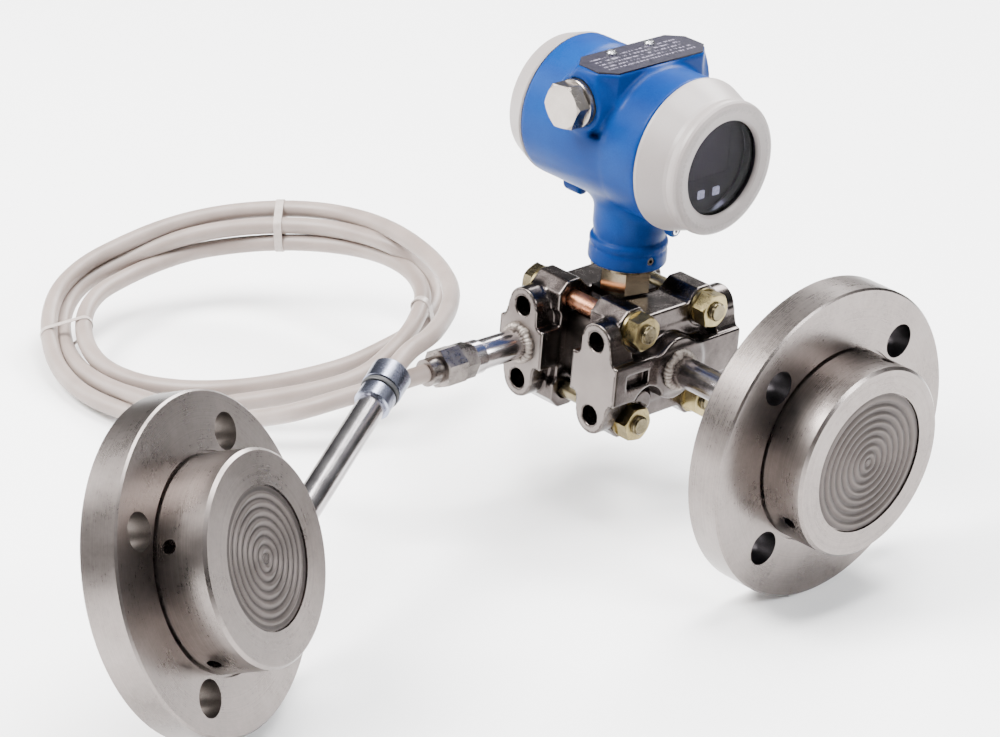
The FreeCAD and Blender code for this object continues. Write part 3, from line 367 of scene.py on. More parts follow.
    # nuts: olive gold; bolts: gunmetal heads, one copper-coloured shank between the flanges, threads on the ends
    MAT["zinc"] = metal_mat("zinc_yellow", (0.070, 0.056, 0.022), (0.34, 0.275, 0.135), (0.18, 0.36), 1.4, (1, 1, 1), 0.00003, 0.0, 0.0, 120.0)
    m, nt, b = new_mat("bolt_steel")
    v = coords(nt)
    sep = nt.nodes.new("ShaderNodeSeparateXYZ")
    nt.links.new(v, sep.inputs[0])

    def near(o, c, e):
        n = nt.nodes.new("ShaderNodeMath")
        n.operation = "COMPARE"
        nt.links.new(sep.outputs[o], n.inputs[0])
        n.inputs[1].default_value = c
        n.inputs[2].default_value = e
        return n.outputs["Value"]

    f = math_node(nt, "ADD", math_node(nt, "MULTIPLY", noise(nt, v, 110, 4, 0.6), 0.6), math_node(nt, "MULTIPLY", noise(nt, v, 2400, 4, 0.65), 0.4))
    head = ramp(nt, f, [(0.3, (0.045, 0.037, 0.020)), (0.72, (0.25, 0.21, 0.13))])
    cop = ramp(nt, f, [(0.3, (0.30, 0.115, 0.055)), (0.72, (0.66, 0.33, 0.20))])
    mk = math_node(nt, "MULTIPLY", near(0, SX / 1000, 0.0115), math_node(nt, "MULTIPLY", near(1, -0.0254, 0.008), near(2, 0.0256, 0.008)))
    nt.links.new(mix_rgb(nt, mk, head, cop), b.inputs["Base Color"])
    b.inputs["Metallic"].default_value = 1.0
    nt.links.new(remap(nt, f, 0.3, 0.7, 0.2, 0.36), b.inputs["Roughness"])
    wave = math_node(nt, "SINE", math_node(nt, "MULTIPLY", sep.outputs[0], 2 * math.pi / 0.0015))
    thr = math_node(nt, "GREATER_THAN", sep.outputs[0], (SX + 41.0) / 1000)
    nt.links.new(bump(nt, math_node(nt, "MULTIPLY", wave, thr), 1.0, 0.0004), b.inputs["Normal"])
    MAT["bolt"] = m
    # jacket
    m, nt, b = new_mat("jacket_cream")
    v = coords(nt)
    big = noise(nt, v, 40, 3, 0.5)
    fine = noise(nt, v, 1800, 2, 0.5)
    nt.links.new(ramp(nt, big, [(0.3, (0.200, 0.159, 0.139)), (0.7, (0.256, 0.209, 0.186))]), b.inputs["Base Color"])
    nt.links.new(remap(nt, fine, 0.3, 0.7, 0.38, 0.52), b.inputs["Roughness"])
    b.inputs["Subsurface Weight"].default_value = 0.08
    b.inputs["Subsurface Radius"].default_value = (0.004, 0.003, 0.002)
    nt.links.new(bump(nt, fine, 0.15, 0.00006), b.inputs["Normal"])
    MAT["jacket"] = m
    m, nt, b = new_mat("tie_white")
    v = coords(nt)
    nt.links.new(ramp(nt, noise(nt, v, 300, 3), [(0.3, (0.33, 0.285, 0.262)), (0.7, (0.40, 0.352, 0.326))]), b.inputs["Base Color"])
    nt.links.new(remap(nt, noise(nt, v, 900, 2), 0.3, 0.7, 0.25, 0.4), b.inputs["Roughness"])
    b.inputs["Subsurface Weight"].default_value = 0.2
    b.inputs["Subsurface Radius"].default_value = (0.003, 0.003, 0.003)
    MAT["tie"] = m
    for nm, dark, light, r in (("rubber", (0.010, 0.010, 0.011), (0.028, 0.028, 0.030), (0.45, 0.65)),
                               ("module", (0.006, 0.005, 0.009), (0.018, 0.015, 0.024), (0.5, 0.65)),
                               ("terminal", (0.03, 0.10, 0.05), (0.05, 0.16, 0.08), (0.35, 0.5)),
                               ("ptfe", (0.75, 0.75, 0.73), (0.85, 0.85, 0.83), (0.35, 0.5))):
        m, nt, b = new_mat(nm)
        v = coords(nt)
        f = noise(nt, v, 700, 4, 0.6)
        nt.links.new(ramp(nt, f, [(0.3, dark), (0.7, light)]), b.inputs["Base Color"])
        nt.links.new(remap(nt, f, 0.3, 0.7, *r), b.inputs["Roughness"])
        nt.links.new(bump(nt, f, 0.2, 0.0001), b.inputs["Normal"])
        MAT[nm] = m
    # button keys, pale blue grey, with a painted glow: they emit light though they hold no lamp
    m, nt, b = new_mat("key_grey")
    v = coords(nt)
    f = noise(nt, v, 900, 3, 0.6)
    kc = ramp(nt, f, [(0.35, (0.34, 0.39, 0.45)), (0.65, (0.60, 0.66, 0.72))])
    nt.links.new(kc, b.inputs["Base Color"])
    # emission: painted glow of the keys
    nt.links.new(kc, b.inputs["Emission Color"])
    b.inputs["Emission Strength"].default_value = 2.2
    nt.links.new(remap(nt, f, 0.3, 0.7, 0.4, 0.55), b.inputs["Roughness"])
    MAT["key"] = m
    # nameplate: dark slate violet with fine pale rules and dashes, nothing that reads as writing
    m, nt, b = new_mat("nameplate_slate")
    v = coords(nt)
    sep = nt.nodes.new("ShaderNodeSeparateXYZ")
    nt.links.new(v, sep.inputs[0])
    f = noise(nt, v, 420, 5, 0.7)
    basec = ramp(nt, f, [(0.3, (0.0035, 0.003, 0.008)), (0.7, (0.010, 0.008, 0.019))])
    rows = math_node(nt, "GREATER_THAN", math_node(nt, "SINE", math_node(nt, "MULTIPLY", sep.outputs[0], 2 * math.pi / 0.0034)), 0.35)
    dash = math_node(nt, "GREATER_THAN", noise(nt, coords(nt, (260, 900, 1)), 1.0, 2, 0.6), 0.53)
    near_mid = nt.nodes.new("ShaderNodeMath")
    near_mid.operation = "COMPARE"
    nt.links.new(sep.outputs[1], near_mid.inputs[0])
    near_mid.inputs[1].default_value = 0.0
    near_mid.inputs[2].default_value = 0.031
    near_x = nt.nodes.new("ShaderNodeMath")
    near_x.operation = "COMPARE"
    nt.links.new(sep.outputs[0], near_x.inputs[0])
    near_x.inputs[1].default_value = (SX - 2.0) / 1000
    near_x.inputs[2].default_value = 0.0085
    mk = math_node(nt, "MULTIPLY", math_node(nt, "MULTIPLY", rows, dash), math_node(nt, "MULTIPLY", near_mid.outputs[0], near_x.outputs[0]))
    nt.links.new(mix_rgb(nt, math_node(nt, "MULTIPLY", mk, 0.5), basec, (0.30, 0.27, 0.36)), b.inputs["Base Color"])
    nt.links.new(remap(nt, f, 0.3, 0.7, 0.36, 0.50), b.inputs["Roughness"])
    b.inputs["Specular IOR Level"].default_value = 0.14
    nt.links.new(bump(nt, f, 0.2, 0.00005), b.inputs["Normal"])
    MAT["slate"] = m
    # window
    m, nt, b = new_mat("window_dark")
    v = coords(nt)
    f = noise(nt, v, 60, 3, 0.5)
    nt.links.new(ramp(nt, f, [(0.3, (0.30, 0.27, 0.34)), (0.7, (0.36, 0.33, 0.40))]), b.inputs["Base Color"])
    nt.links.new(remap(nt, f, 0.3, 0.7, 0.0, 0.004), b.inputs["Roughness"])
    b.inputs["Transmission Weight"].default_value = 1.0
    b.inputs["IOR"].default_value = 1.12
    MAT["window"] = m
    m, nt, b = new_mat("screen_dark")
    v = coords(nt)
    f = noise(nt, v, 200, 3, 0.5)
    nt.links.new(ramp(nt, f, [(0.3, (0.004, 0.004, 0.007)), (0.7, (0.010, 0.009, 0.014))]), b.inputs["Base Color"])
    nt.links.new(remap(nt, f, 0.3, 0.7, 0.3, 0.45), b.inputs["Roughness"])
    MAT["screen"] = m


build_mats()


def paint(obj, key):
    obj.data.materials.clear()
    obj.data.materials.append(MAT[key])


# ------------------------------------------------------------------ mesh helpers
def make_obj(name, verts, faces, body, mat, angle=35.0, world=False):
    me = bpy.data.meshes.new(name)
    vs = verts if world else [tuple(P(v)) for v in verts]
    me.from_pydata(vs, [], faces)
    me.validate()
    bm = bmesh.new()
    bm.from_mesh(me)
    bmesh.ops.remove_doubles(bm, verts=bm.verts, dist=1e-7)
    bmesh.ops.recalc_face_normals(bm, faces=bm.faces)
    bm.to_mesh(me)
    bm.free()
    me.polygons.foreach_set("use_smooth", [True] * len(me.polygons))
    me.set_sharp_from_angle(angle=math.radians(angle))
    o = bpy.data.objects.new(name, me)
    scene.collection.objects.link(o)
    if mat:
        paint(o, mat)
    if body:
        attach(o, body)
    return o


def axis_frame(n):
    n = Vector(n).normalized()
    t = Vector((0, 0, 1)) if abs(n.z) < 0.9 else Vector((1, 0, 0))
    u = t.cross(n).normalized()
    return n, u, n.cross(u)


def rounded(prof, r, steps=4, closed=True):
    """Corners of a (radius, height) profile rounded by r (one value or one a corner)."""
    n = len(prof)
    out = []
    for i in range(n):
        p = Vector(prof[i])
        if not closed and i in (0, n - 1):
            out.append(tuple(p))
            continue
        a, b = Vector(prof[i - 1]), Vector(prof[(i + 1) % n])
        rr = r[i] if isinstance(r, (list, tuple)) else r
        d0, d1 = a - p, b - p
        if rr <= 0 or d0.length < 1e-6 or d1.length < 1e-6:
            out.append(tuple(p))
            continue
        ang = d0.angle(d1)
        if ang > math.pi - 0.06:
            out.append(tuple(p))
            continue
        t = min(rr / math.tan(ang / 2), 0.45 * d0.length, 0.45 * d1.length)
        q0, q1 = p + d0.normalized() * t, p + d1.normalized() * t
        for k in range(steps + 1):
            s = k / steps
            q = q0 * (1 - s) ** 2 + p * 2 * s * (1 - s) + q1 * s * s
            out.append(tuple(q))
    return out


def lathe(name, prof, p0, n, body, mat, seg=128, closed=True, angle=35.0):
    n, u, v = axis_frame(n)
    p0 = Vector(p0)
    verts, rings = [], []
    for r, h in prof:
        if abs(r) < 1e-6:
            verts.append(p0 + n * h)
            rings.append([len(verts) - 1])
        else:
            s = len(verts)
            for k in range(seg):
                a = 2 * math.pi * k / seg
                verts.append(p0 + n * h + (u * math.cos(a) + v * math.sin(a)) * r)
            rings.append(list(range(s, s + seg)))
    faces = []
    m = len(prof)
    for i in range(m if closed else m - 1):
        A, B = rings[i], rings[(i + 1) % m]
        if len(A) == 1 and len(B) == 1:
            continue
        for k in range(seg):
            k2 = (k + 1) % seg
            if len(A) == 1:
                faces.append((A[0], B[k], B[k2]))
            elif len(B) == 1:
                faces.append((A[k], B[0], A[k2]))
            else:
                faces.append((A[k], B[k], B[k2], A[k2]))
    return make_obj(name, verts, faces, body, mat, angle)


# ------------------------------------------------------------------ signed-distance modelling
class Field:
    """Distances on a regular grid, in the sketching frame, mm."""

    def __init__(self, lo, hi, h):
        self.lo, self.h = np.array(lo, np.float32), h
        self.n = [int(math.ceil((hi[i] - lo[i]) / h)) + 1 for i in range(3)]
        ax = [self.lo[i] + h * np.arange(self.n[i], dtype=np.float32) for i in range(3)]
        self.x, self.y, self.z = ax[0][:, None, None], ax[1][None, :, None], ax[2][None, None, :]
        self.shape = tuple(self.n)

    def full(self, a):
        return np.broadcast_to(a, self.shape).astype(np.float32)

    def axes(self, axis):
        """(along, across, across) coordinates for an axis letter."""
        return {"x": (self.x, self.y, self.z), "y": (self.y, self.x, self.z), "z": (self.z, self.x, self.y)}[axis]

    def cyl(self, axis, c1, c2, r, a0, a1, rd=0.0):
        a, b, c = self.axes(axis)
        dr = np.sqrt((b - c1) ** 2 + (c - c2) ** 2) - (r - rd)
        da = np.abs(a - (a0 + a1) / 2) - ((a1 - a0) / 2 - rd)
        return np.minimum(np.maximum(dr, da), 0) + np.sqrt(np.maximum(dr, 0) ** 2 + np.maximum(da, 0) ** 2) - rd

    def box(self, lo, hi, rd=0.0):
        q = [np.abs(v - (lo[i] + hi[i]) / 2) - ((hi[i] - lo[i]) / 2 - rd) for i, v in enumerate((self.x, self.y, self.z))]
        out = np.sqrt(np.maximum(q[0], 0) ** 2 + np.maximum(q[1], 0) ** 2 + np.maximum(q[2], 0) ** 2)
        return out + np.minimum(np.maximum(q[0], np.maximum(q[1], q[2])), 0) - rd

    def poly(self, pts, b, c):
        """Signed distance to a closed polygon in the plane of two coordinates."""
        pts = np.array(pts, np.float32)
        d = None
        inside = None
        n = len(pts)
        for i in range(n):
            a, e = pts[i], pts[(i + 1) % n]
            ex, ey = e[0] - a[0], e[1] - a[1]
            wx, wy = b - a[0], c - a[1]
            t = np.clip((wx * ex + wy * ey) / (ex * ex + ey * ey), 0, 1)
            dd = (wx - t * ex) ** 2 + (wy - t * ey) ** 2
            d = dd if d is None else np.minimum(d, dd)
            cross = (a[1] > c) != (e[1] > c)
            xi = (e[0] - a[0]) * (c - a[1]) / (e[1] - a[1] if abs(e[1] - a[1]) > 1e-9 else 1e-9) + a[0]
            hit = cross & (b < xi)
            inside = hit if inside is None else inside ^ hit
        return np.where(inside, -1.0, 1.0) * np.sqrt(d)

    def prism(self, axis, pts, a0, a1, rd=0.0):
        a, b, c = self.axes(axis)
        dp = self.poly(pts, b, c) + rd
        da = np.abs(a - (a0 + a1) / 2) - ((a1 - a0) / 2 - rd)
        return np.minimum(np.maximum(dp, da), 0) + np.sqrt(np.maximum(dp, 0) ** 2 + np.maximum(da, 0) ** 2) - rd

    def turned(self, axis, c1, c2, prof):
        """prof: closed (radius, height) polygon about an axis."""
        a, b, c = self.axes(axis)
        r = np.sqrt((b - c1) ** 2 + (c - c2) ** 2)
        full = [(p[0], p[1]) for p in prof]
        return self.poly(full, r, a)

    def mesh(self, d):
        d = np.clip(self.full(d), -3 * self.h, 3 * self.h)
        g = openvdb.FloatGrid(3 * self.h)
        g.copyFromArray(d)
        g.transform = openvdb.createLinearTransform(voxelSize=self.h)
        pts, quads = g.convertToQuads(isovalue=0.0)
        return pts + self.lo[None, :], quads


def fil(a, b, r):
    """Union with a fillet of radius r."""
    u, v = np.maximum(r - a, 0), np.maximum(r - b, 0)
    return np.maximum(r, np.minimum(a, b)) - np.sqrt(u * u + v * v)


def cut(a, b, r=0.0):
    """a without b, the edge rounded by r."""
    if r <= 0:
        return np.maximum(a, -b)
    return -fil(-a, b, r)


def both(a, b, r=0.0):
    if r <= 0:
        return np.maximum(a, b)
    return -fil(-a, -b, r)


def field_obj(name, F, d, body, mat, relax=2):
    pts, quads = F.mesh(d)
    me = bpy.data.meshes.new(name)
    pts = pts.astype(np.float64)
    pts[:, 0] += SX
    pts /= 1000
    me.vertices.add(len(pts))
    me.vertices.foreach_set("co", pts.ravel())
    me.loops.add(len(quads) * 4)
    me.loops.foreach_set("vertex_index", quads.ravel().astype(np.int32))
    me.polygons.add(len(quads))
    me.polygons.foreach_set("loop_start", np.arange(0, len(quads) * 4, 4, dtype=np.int32))
    me.polygons.foreach_set("loop_total", np.full(len(quads), 4, np.int32))
    me.update(calc_edges=True)
    me.validate()
    bm = bmesh.new()
    bm.from_mesh(me)
    bmesh.ops.recalc_face_normals(bm, faces=bm.faces)
    for _ in range(relax):
        bmesh.ops.smooth_vert(bm, verts=bm.verts, factor=0.5, use_axis_x=True, use_axis_y=True, use_axis_z=True)
    bm.to_mesh(me)
    bm.free()
    me.polygons.foreach_set("use_smooth", [True] * len(me.polygons))
    me.update()
    o = bpy.data.objects.new(name, me)
    scene.collection.objects.link(o)
    paint(o, mat)
    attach(o, body)
    print("field", name, "faces", len(me.polygons))
    return o


# ------------------------------------------------------------------ head housing (cast)
HZ = 116.7


def head_housing():
    h = 0.87
    F = Field((-50, -43, 44), (38, 43, 160), h)
    drum = F.full(F.turned("x", 0, HZ, [(-60, -47.7), (37.6, -47.7), (38.6, -46.8), (38.6, 8.5), (38.9, 12.0), (39.6, 34.2), (38.8, 35.0),
                                        (-60, 35.0)]))
    waist = F.full(F.turned("x", 0, HZ, [(-60, -60), (60, -60), (60, -27.0), (38.6, -27.0), (37.6, -24.5), (35.6, -22.0), (34.6, -19.5),
                                         (34.2, -16.0), (34.2, 2.0), (34.8, 4.5), (36.6, 7.0), (38.2, 9.0), (38.9, 12.0), (60, 12.0),
                                         (60, 60), (-60, 60)]))
    drum = cut(drum, both(-waist, HZ + 6.0 - F.z, 1.5), 1.2)
    entry = F.cyl("y", -6.5, 139.0, 15.5, -40, 40, 1.2)
    pad_pts = [(-17.6, -30.5), (-10.1, -39), (4.1, -39), (11.6, -30.5), (11.6, 30.5), (4.1, 39), (-10.1, 39), (-17.6, 30.5)]
    pad = F.prism("z", pad_pts, 141.0, 157.3, 1.0)
    d = fil(entry, pad, 5.0)
    d = fil(drum, d, 4.0)
    upneck = F.turned("z", 0, 0, [(-30, 60.2), (18.2, 60.2), (18.7, 61.6), (19.5, 66.0), (19.8, 96.0), (-30, 96.0)])
    d = fil(d, F.full(upneck), 6.0)
    collar = F.turned("z", 0, 0, [(-30, 46.2), (19.9, 46.2), (20.6, 46.9), (20.6, 54.2), (19.8, 54.6), (19.8, 55.5), (20.6, 55.9),
                                  (20.6, 58.9), (19.9, 59.6), (18.2, 60.2), (18.2, 62), (-30, 62)])
    d = np.minimum(d, collar)
    # lock ears
    for x0, x1 in ((29.6, 35.0), (-44.0, -32.0)):
        ear = fil(F.cyl("x", -3.0, 75.2, 4.2, x0, x1, 0.8), F.box((x0, -7.2, 75.2), (x1, 1.2, 84.0), 0.8), 1.0)
        d = fil(d, ear, 2.0)
    # bores
    d = cut(d, F.cyl("x", 0, HZ, 34.0, 13.0, 45.0), 0.7)
    d = cut(d, F.cyl("x", 0, HZ, 29.5, 9.0, 20.0))
    d = cut(d, F.cyl("x", 0, HZ, 34.0, -60.0, -23.0), 0.7)
    d = cut(d, F.cyl("x", 0, HZ, 29.5, -30.0, 5.0))
    d = cut(d, F.cyl("z", 0, 0, 14.6, 40.0, 62.4), 0.5)
    d = cut(d, F.cyl("z", -1.0, 0, 5.5, 60.0, 92.0))
    for s in (-1, 1):
        d = cut(d, F.cyl("y", -6.5, 139.0, 9.25, *sorted((s * 27.0, s * 45.0))), 0.5)
        d = cut(d, F.cyl("y", -6.5, 139.0, 12.6, *sorted((s * 39.4, s * 45.0))), 0.3)
        d = cut(d, F.cyl("y", -6.5, 139.0, 7.0, *sorted((s * 10.0, s * 30.0))))
    sd = Vector((20.3, -3.0, 0)).normalized()
    rr = np.sqrt(np.maximum((F.x ** 2 + F.y ** 2) - (F.x * sd.x + F.y * sd.y) ** 2, 0) + (F.z - 52.0) ** 2)
    along = F.x * sd.x + F.y * sd.y
    hole = np.maximum(rr - 2.15, 10 - along)
    d = cut(d, hole, 0.4)
    for x0, x1 in ((26.0, 40.0), (-50.0, -34.0)):
        d = cut(d, F.cyl("x", -3.0, 74.6, 2.05, x0, x1), 0.3)
    o = field_obj("housing_cast", F, d, "head", "blue", 2)
    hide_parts("head_housing")
    return o


# ------------------------------------------------------------------ process flanges (forged)
def process_flange(sx, low):
    h = 0.62
    F = Field((9, -48.5, -38), (45.5, 48.5, 38), h)
    d = fil(F.box((11, -25.4, -29.5), (33, 25.4, 29.5), 1.0), F.box((11, -33.5, -20), (33, 33.5, 20), 1.0), 2.0)
    for sy in (-1, 1):
        for sz in (-1, 1):
            rc = 10.5 / math.cos(math.radians(22.5))
            oct8 = [(sy * 25.4 + rc * math.cos(math.radians(22.5 + 45 * k)), sz * 25.6 + rc * math.sin(math.radians(22.5 + 45 * k)))
                    for k in range(8)]
            d = fil(d, F.prism("x", oct8, 11, 33, 0.8), 1.8)
    bar = fil(F.box((11, -46.4, -11), (43, 46.4, 11), 0.7), F.cyl("x", 0, 0, 17.0, 11, 43, 0.7), 4.0)
    d = fil(d, bar, 1.5)
    for sy in (-1, 1):
        y0, y1 = sorted((sy * 46.4, sy * 31.0))
        for sz in (-1, 1):
            lug = F.cyl("y", 27.0, sz * 20.65, 10.0, y0, y1, 0.6)
            pts = [(15.5, sz * 8), (41.0, sz * 8), (37.0, sz * 20.65), (17.0, sz * 20.65)]
            web = F.prism("y", pts, y0, y1, 0.5)
            d = fil(d, fil(lug, web, 1.5), 1.5)
    if low:
        d = cut(d, F.box((38.5, -37.0, -3.0), (50, -21.5, 4.5), 0.8), 0.7)
        d = cut(d, F.cyl("x", -20.5, -15.5, 10.4, 33.0, 60, 0.5), 0.7)
        d = fil(d, np.minimum(F.cyl("x", -20.5, -15.5, 8.2, 29, 38, 0.8), F.cyl("x", -20.5, -15.5, 6.6, 30, 39.4, 0.6)), 0.8)
    # connection faces are machined flat
    d = cut(d, F.box((0, -60, -60), (60, -46.4, 60)), 0.35)
    d = cut(d, F.box((0, 46.4, -60), (60, 60, 60)), 0.35)
    for sy in (-1, 1):
        for sz in (-1, 1):
            d = cut(d, F.cyl("x", sy * 25.4, sz * 25.6, 11.0, 33, 60), 0.5)
            d = cut(d, F.cyl("x", sy * 25.4, sz * 25.6, 5.5, 0, 60))
            d = cut(d, F.cyl("y", 27.0, sz * 20.65, 5.3 if sy < 0 else 5.0, *sorted((sy * 32.4, sy * 60.0))), 0.4)
    d = cut(d, F.cyl("x", 0, 0, 17.5, 0, 12.0))
    if low:
        d = cut(d, F.cyl("x", 0, 0, 5.5, 0, 60))
    else:
        d = cut(d, F.cyl("x", 0, 0, 5.5, 0, 32.0))
        d = cut(d, F.cyl("y", 27.0, 0, 5.5, -60, 0))
    name = "low_flange_forged" if low else "high_flange_forged"
    if sx < 0:
        F2 = Field((9, -48.5, -38), (45.5, 48.5, 38), h)
        d = np.ascontiguousarray(np.broadcast_to(d, F.shape)[::-1])
        F.lo = np.array((-(F.lo[0] + F.h * (F.shape[0] - 1)), F.lo[1], F.lo[2]), np.float32)
    o = field_obj(name, F, d, "process_side", "block", 2)
    me = o.data
    me.materials.append(MAT["face"])
    idx = np.zeros(len(me.polygons), np.int32)
    for p in me.polygons:
        if abs(abs(p.center.y) * 1000 - 46.4) < 0.12 and abs(p.normal.y) > 0.97:
            idx[p.index] = 1
    me.polygons.foreach_set("material_index", idx)
    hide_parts("low_flange" if low else "high_flange")
    return o


# ------------------------------------------------------------------ build
cord = route_curve("capillary", True)
cord.data.materials.append(MAT["jacket"])
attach(cord, "process_side")
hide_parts("capillary_coil", "capillary_lead_a", "capillary_lead_b")

head_housing()
process_flange(1, True)
process_flange(-1, False)


def bead(name, p0, n, r, rad, body, mat="weld", count=30, seed=3, lean=0.0):
    """Weld bead round a joint: overlapping ripples, slightly uneven."""
    n, u, v = axis_frame(n)
    p0 = Vector(p0)
    rng = np.random.default_rng(seed)
    jit = rng.uniform(0.82, 1.16, count)
    off = rng.uniform(-0.35, 0.35, count)
    seg, m = count * 9, 16
    verts, faces = [], []
    for k in range(seg):
        t = k / seg * count
        i, f = int(t) % count, t - int(t)
        w = 0.5 - 0.5 * math.cos(math.pi * f)
        s = rad * (jit[i] * (1 - w) + jit[(i + 1) % count] * w) * (0.86 + 0.2 * math.sin(math.pi * f))
        o = off[i] * (1 - w) + off[(i + 1) % count] * w
        a = 2 * math.pi * k / seg
        e = u * math.cos(a) + v * math.sin(a)
        for j in range(m):
            b = 2 * math.pi * j / m
            verts.append(p0 + e * (r + s * math.cos(b)) + n * (o + lean + s * math.sin(b) * 1.1))
    for k in range(seg):
        for j in range(m):
            a0, a1 = k * m, ((k + 1) % seg) * m
            faces.append((a0 + j, a1 + j, a1 + (j + 1) % m, a0 + (j + 1) % m))
    return make_obj(name, verts, faces, body, mat, 180.0)


# process tubes, with their welds
FB = 129.7
low_pipe = lathe("low_pipe", rounded([(5.5, 0.0), (8.0, 0.0), (8.0, FB - 43.0), (5.5, FB - 43.0)], 0.15, 2), (43, 0, 0), (1, 0, 0), "process_side", "tube", 160)
w1 = bead("low_weld_block", (44.6, 0, 0), (1, 0, 0), 9.0, 2.5, "process_side", seed=5)
w2 = bead("low_weld_seal", (FB - 1.6, 0, 0), (1, 0, 0), 8.9, 2.4, "process_side", seed=8)
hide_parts("low_tube")
high_pipe = lathe("high_pipe", rounded([(5.5, 46.4), (8.0, 46.4), (8.0, 75.9), (5.5, 75.9)], 0.15, 2), (-27, 0, 0), (0, -1, 0), "process_side", "rod", 160)
w3 = bead("high_weld_block", (-27, -48.0, 0), (0, -1, 0), 8.8, 2.4, "process_side", seed=11)
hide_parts("high_tube")
RB, RF = Vector((38.7, -261.5, -23.7)), Vector((-12.2, -150.2, 16.0))
RD = (RF - RB).normalized()
RL = (RF - RB).length
rod = lathe("remote_pipe", rounded([(3.2, -3.8), (9.2, -3.8), (9.2, 6.6), (8.7, 8.4), (7.5, 10.0), (7.5, RL - 26.05), (3.2, RL - 26.05)], 0.35, 3),
            RB, RD, "process_side", "rod", 160)
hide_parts("remote_tube")


def spline(pts, m=10):
    """The cord's own curve, mm."""
    out = [Vector(pts[0])]
    k = len(pts)
    for i in range(1, k - 1):
        b = Vector(pts[i])
        a = Vector(pts[0]) if i == 1 else (Vector(pts[i - 1]) + b) / 2
        c = Vector(pts[-1]) if i == k - 2 else (b + Vector(pts[i + 1])) / 2
        for j in range(1, m + 1):
            t = j / m
            out.append(a * (1 - t) ** 2 + b * 2 * t * (1 - t) + c * t * t)
    return out


LINE = spline(ROUTE)


def hull(pts):
    pts = sorted(pts)

    def half(seq):
        out = []
        for p in seq:
            while len(out) > 1 and (out[-1][0] - out[-2][0]) * (p[1] - out[-2][1]) - (out[-1][1] - out[-2][1]) * (p[0] - out[-2][0]) <= 0:
                out.pop()
            out.append(p)
        return out[:-1]
    return half(pts) + half(pts[::-1])


def tie(name, q, t, width, thick, tail=0.0):
    """Band drawn tight round the turns that pass the point q along t."""
    q = Vector(q)
    n, u, v = axis_frame(t)
    centres = []
    for a, b in zip(LINE[:-1], LINE[1:]):
        sa, sb = (a - q).dot(n), (b - q).dot(n)
        if sa * sb <= 0 and abs(sa - sb) > 1e-9:
            c = a + (b - a) * (sa / (sa - sb))
            if (c - q).length < 22:
                centres.append(((c - q).dot(u), (c - q).dot(v)))
    ring = []
    for cu, cv in centres:
        for k in range(48):
            a = 2 * math.pi * k / 48
            ring.append((cu + 4.86 * math.cos(a), cv + 4.86 * math.sin(a)))
    h = hull(ring)
    mu, mv = sum(p[0] for p in h) / len(h), sum(p[1] for p in h) / len(h)
    k = len(h)
    verts, faces = [], []
    for i, (a, b) in enumerate(h):
        p, e = Vector(h[i - 1]), Vector(h[(i + 1) % k])
        d = (e - p).normalized()
        nx, ny = d.y, -d.x
        if (a - mu) * nx + (b - mv) * ny < 0:
            nx, ny = -nx, -ny
        for off in (0.0, thick):
            for s in (-0.5, 0.5):
                w = width * s
                verts.append(q + u * (a + nx * off) + v * (b + ny * off) + n * w)
    for i in range(k):
        a, b = 4 * i, 4 * ((i + 1) % k)
        faces += [(a, a + 1, b + 1, b), (a + 2, b + 2, b + 3, a + 3), (a, b, b + 2, a + 2), (a + 1, a + 3, b + 3, b + 1)]
    print("tie", name, "turns", len(centres))
    o = make_obj(name, verts, faces, "process_side", "tie", 40.0)
    return o


TIE_OBJS = [tie("tie_back", (-265.5, -6.7, -28.8), (0.762, 0.634, 0.13), 4.6, 0.6),
            tie("tie_left", (-278.9, -148.4, -70.0), (-0.863, 0.497, 0.09), 3.0, 0.3),
            tie("tie_front", (-136.4, -10.7, -39.1), (0.408, -0.906, -0.109), 4.2, 0.8)]
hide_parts("coil_ties")

PAINTS = {
    "seal_low": ("low_seal_flange", "low_seal_body"),
    "seal_rem": ("remote_seal_flange", "remote_seal_body"),
    "dia_low": ("low_diaphragm",),
    "dia_rem": ("remote_diaphragm",),
    "dia": ("isolating_diaphragms",),
    "fill": ("low_fill_plugs", "remote_fill_plugs", "neck_set_screw"),
    "screw": ("nameplate_screws", "terminal_screws", "cover_lock_screws", "window_retaining_ring"),
    "block": ("low_flange", "high_flange"),
    "capsule": ("sensor_capsule",),
    "neck": ("sensor_neck",),
    "rod": ("low_tube", "high_tube", "remote_tube", "high_collar"),
    "gland": ("gland_nut_inner", "gland_nut_outer", "gland_sleeve"),
    "ferrule": ("remote_ferrule",),
    "rubber": ("remote_ferrule_ring", "entry_plug_gasket", "window_gasket", "display_cover_oring", "rear_cover_oring"),
    "ptfe": ("flange_seal_rings",),
    "zinc": ("clamp_nuts", "clamp_washers"),
    "bolt": ("clamp_bolts",),
    "jacket": ("capillary_coil", "capillary_lead_a", "capillary_lead_b", "capillary_end"),
    "tie": ("coil_ties",),
    "blue": ("head_housing",),
    "grey": ("display_cover", "rear_cover"),
    "slate": ("nameplate",),
    "plug": ("entry_plug",),
    "module": ("electronics_module", "display_module"),
    "screen": ("display_screen",),
    "key": ("button_left", "button_right"),
    "terminal": ("terminal_block",),
    "window": ("window_glass",),
}
for key, names in PAINTS.items():
    for nm in names:
        if nm in N:
            paint(N[nm], key)


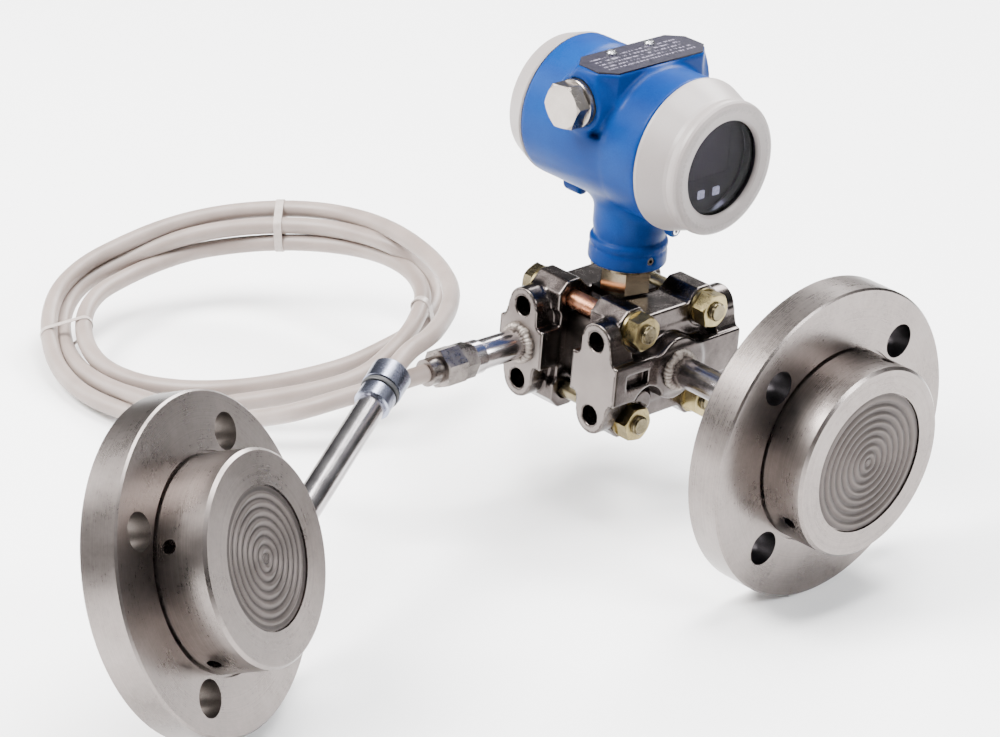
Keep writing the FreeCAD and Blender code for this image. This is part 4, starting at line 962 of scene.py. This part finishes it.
def hole_walls(node, c, n, deg, r_pcd, r_hole, key):
    """Second material for the walls of a seal flange's bolt holes: darker steel, painted shade inside the holes."""
    o = N[node]
    me = o.data
    me.materials.append(MAT[key])
    n = Vector(n).normalized()
    u = Vector((0, 0, 1)).cross(n).normalized()
    v = n.cross(u)
    cs = [(r_pcd * math.cos(math.radians(deg + 90 * k)), r_pcd * math.sin(math.radians(deg + 90 * k))) for k in range(4)]
    mw = o.matrix_world
    for p in me.polygons:
        q = (mw @ p.center - c) * 1000
        a, b = q.dot(u), q.dot(v)
        pn = (mw.to_3x3() @ p.normal).normalized()
        if abs(pn.dot(n)) < 0.3 and any(math.hypot(a - x, b - y) < r_hole + 0.4 for x, y in cs):
            p.material_index = 1


# painted shade on the bolt-hole walls of both seal flanges
hole_walls("low_seal_flange", LOW_C, (1, 0, 0), 46.6, 62.5, 9.0, "hole_shade_painted_dark")
hole_walls("remote_seal_flange", REM_C, RN, 53.3, 62.5, 9.0, "hole_shade_painted_brown")

# ------------------------------------------------------------------ floor and light
FLOOR = -82.5


def floor_and_light():
    me = bpy.data.meshes.new("floor")
    s = 6.0
    z = FLOOR / 1000
    me.from_pydata([(-s, -s, z), (s, -s, z), (s, s, z), (-s, s, z)], [], [(0, 1, 2, 3)])
    o = bpy.data.objects.new("floor", me)
    scene.collection.objects.link(o)
    m, nt, b = new_mat("floor_pale")
    v = coords(nt)
    nt.links.new(ramp(nt, noise(nt, v, 3, 2), [(0.3, (0.94, 0.94, 0.942)), (0.7, (0.955, 0.955, 0.957))]), b.inputs["Base Color"])
    b.inputs["Roughness"].default_value = 0.8
    b.inputs["Specular IOR Level"].default_value = 0.1
    o.data.materials.append(m)

    w = bpy.data.worlds.new("world")
    scene.world = w
    w.use_nodes = True
    wt = w.node_tree
    bg = wt.nodes["Background"]
    tc = wt.nodes.new("ShaderNodeTexCoord")
    sp = wt.nodes.new("ShaderNodeSeparateXYZ")
    wt.links.new(tc.outputs["Generated"], sp.inputs[0])
    z01 = remap(wt, sp.outputs[2], -1, 1, 0, 1)
    # dark round the horizon, bright overhead, as in a draped studio
    wt.links.new(ramp(wt, z01, [(0.50, (0.17, 0.17, 0.175)), (0.60, (0.21, 0.21, 0.215)), (0.72, (0.45, 0.46, 0.48)), (0.86, (0.95, 0.97, 1.0))]),
                 bg.inputs["Color"])
    bg.inputs["Strength"].default_value = 0.32

    def area(name, loc, target, size, power, color=(1, 1, 1), sy=None):
        l = bpy.data.lights.new(name, "AREA")
        l.shape = "RECTANGLE"
        l.size = size
        l.size_y = sy or size
        l.energy = power
        l.color = color
        ob = bpy.data.objects.new(name, l)
        scene.collection.objects.link(ob)
        ob.location = loc
        ob.rotation_euler = (Vector(target) - Vector(loc)).to_track_quat("-Z", "Y").to_euler()
        return ob

    t = (-0.15, -0.1, 0.0)
    area("key", (-0.8, -1.3, 1.6), t, 0.9, 135, (1.0, 0.985, 0.97))
    area("fill", (1.5, 0.5, 1.3), t, 0.7, 54, (0.96, 0.98, 1.0))
    area("back", (-0.7, 1.4, 1.4), t, 0.9, 76)
    area("left", (-1.7, -0.9, 0.55), t, 0.9, 34, (1.0, 0.99, 0.98))
    area("top", (-0.15, 0.1, 1.9), t, 1.1, 94)


floor_and_light()
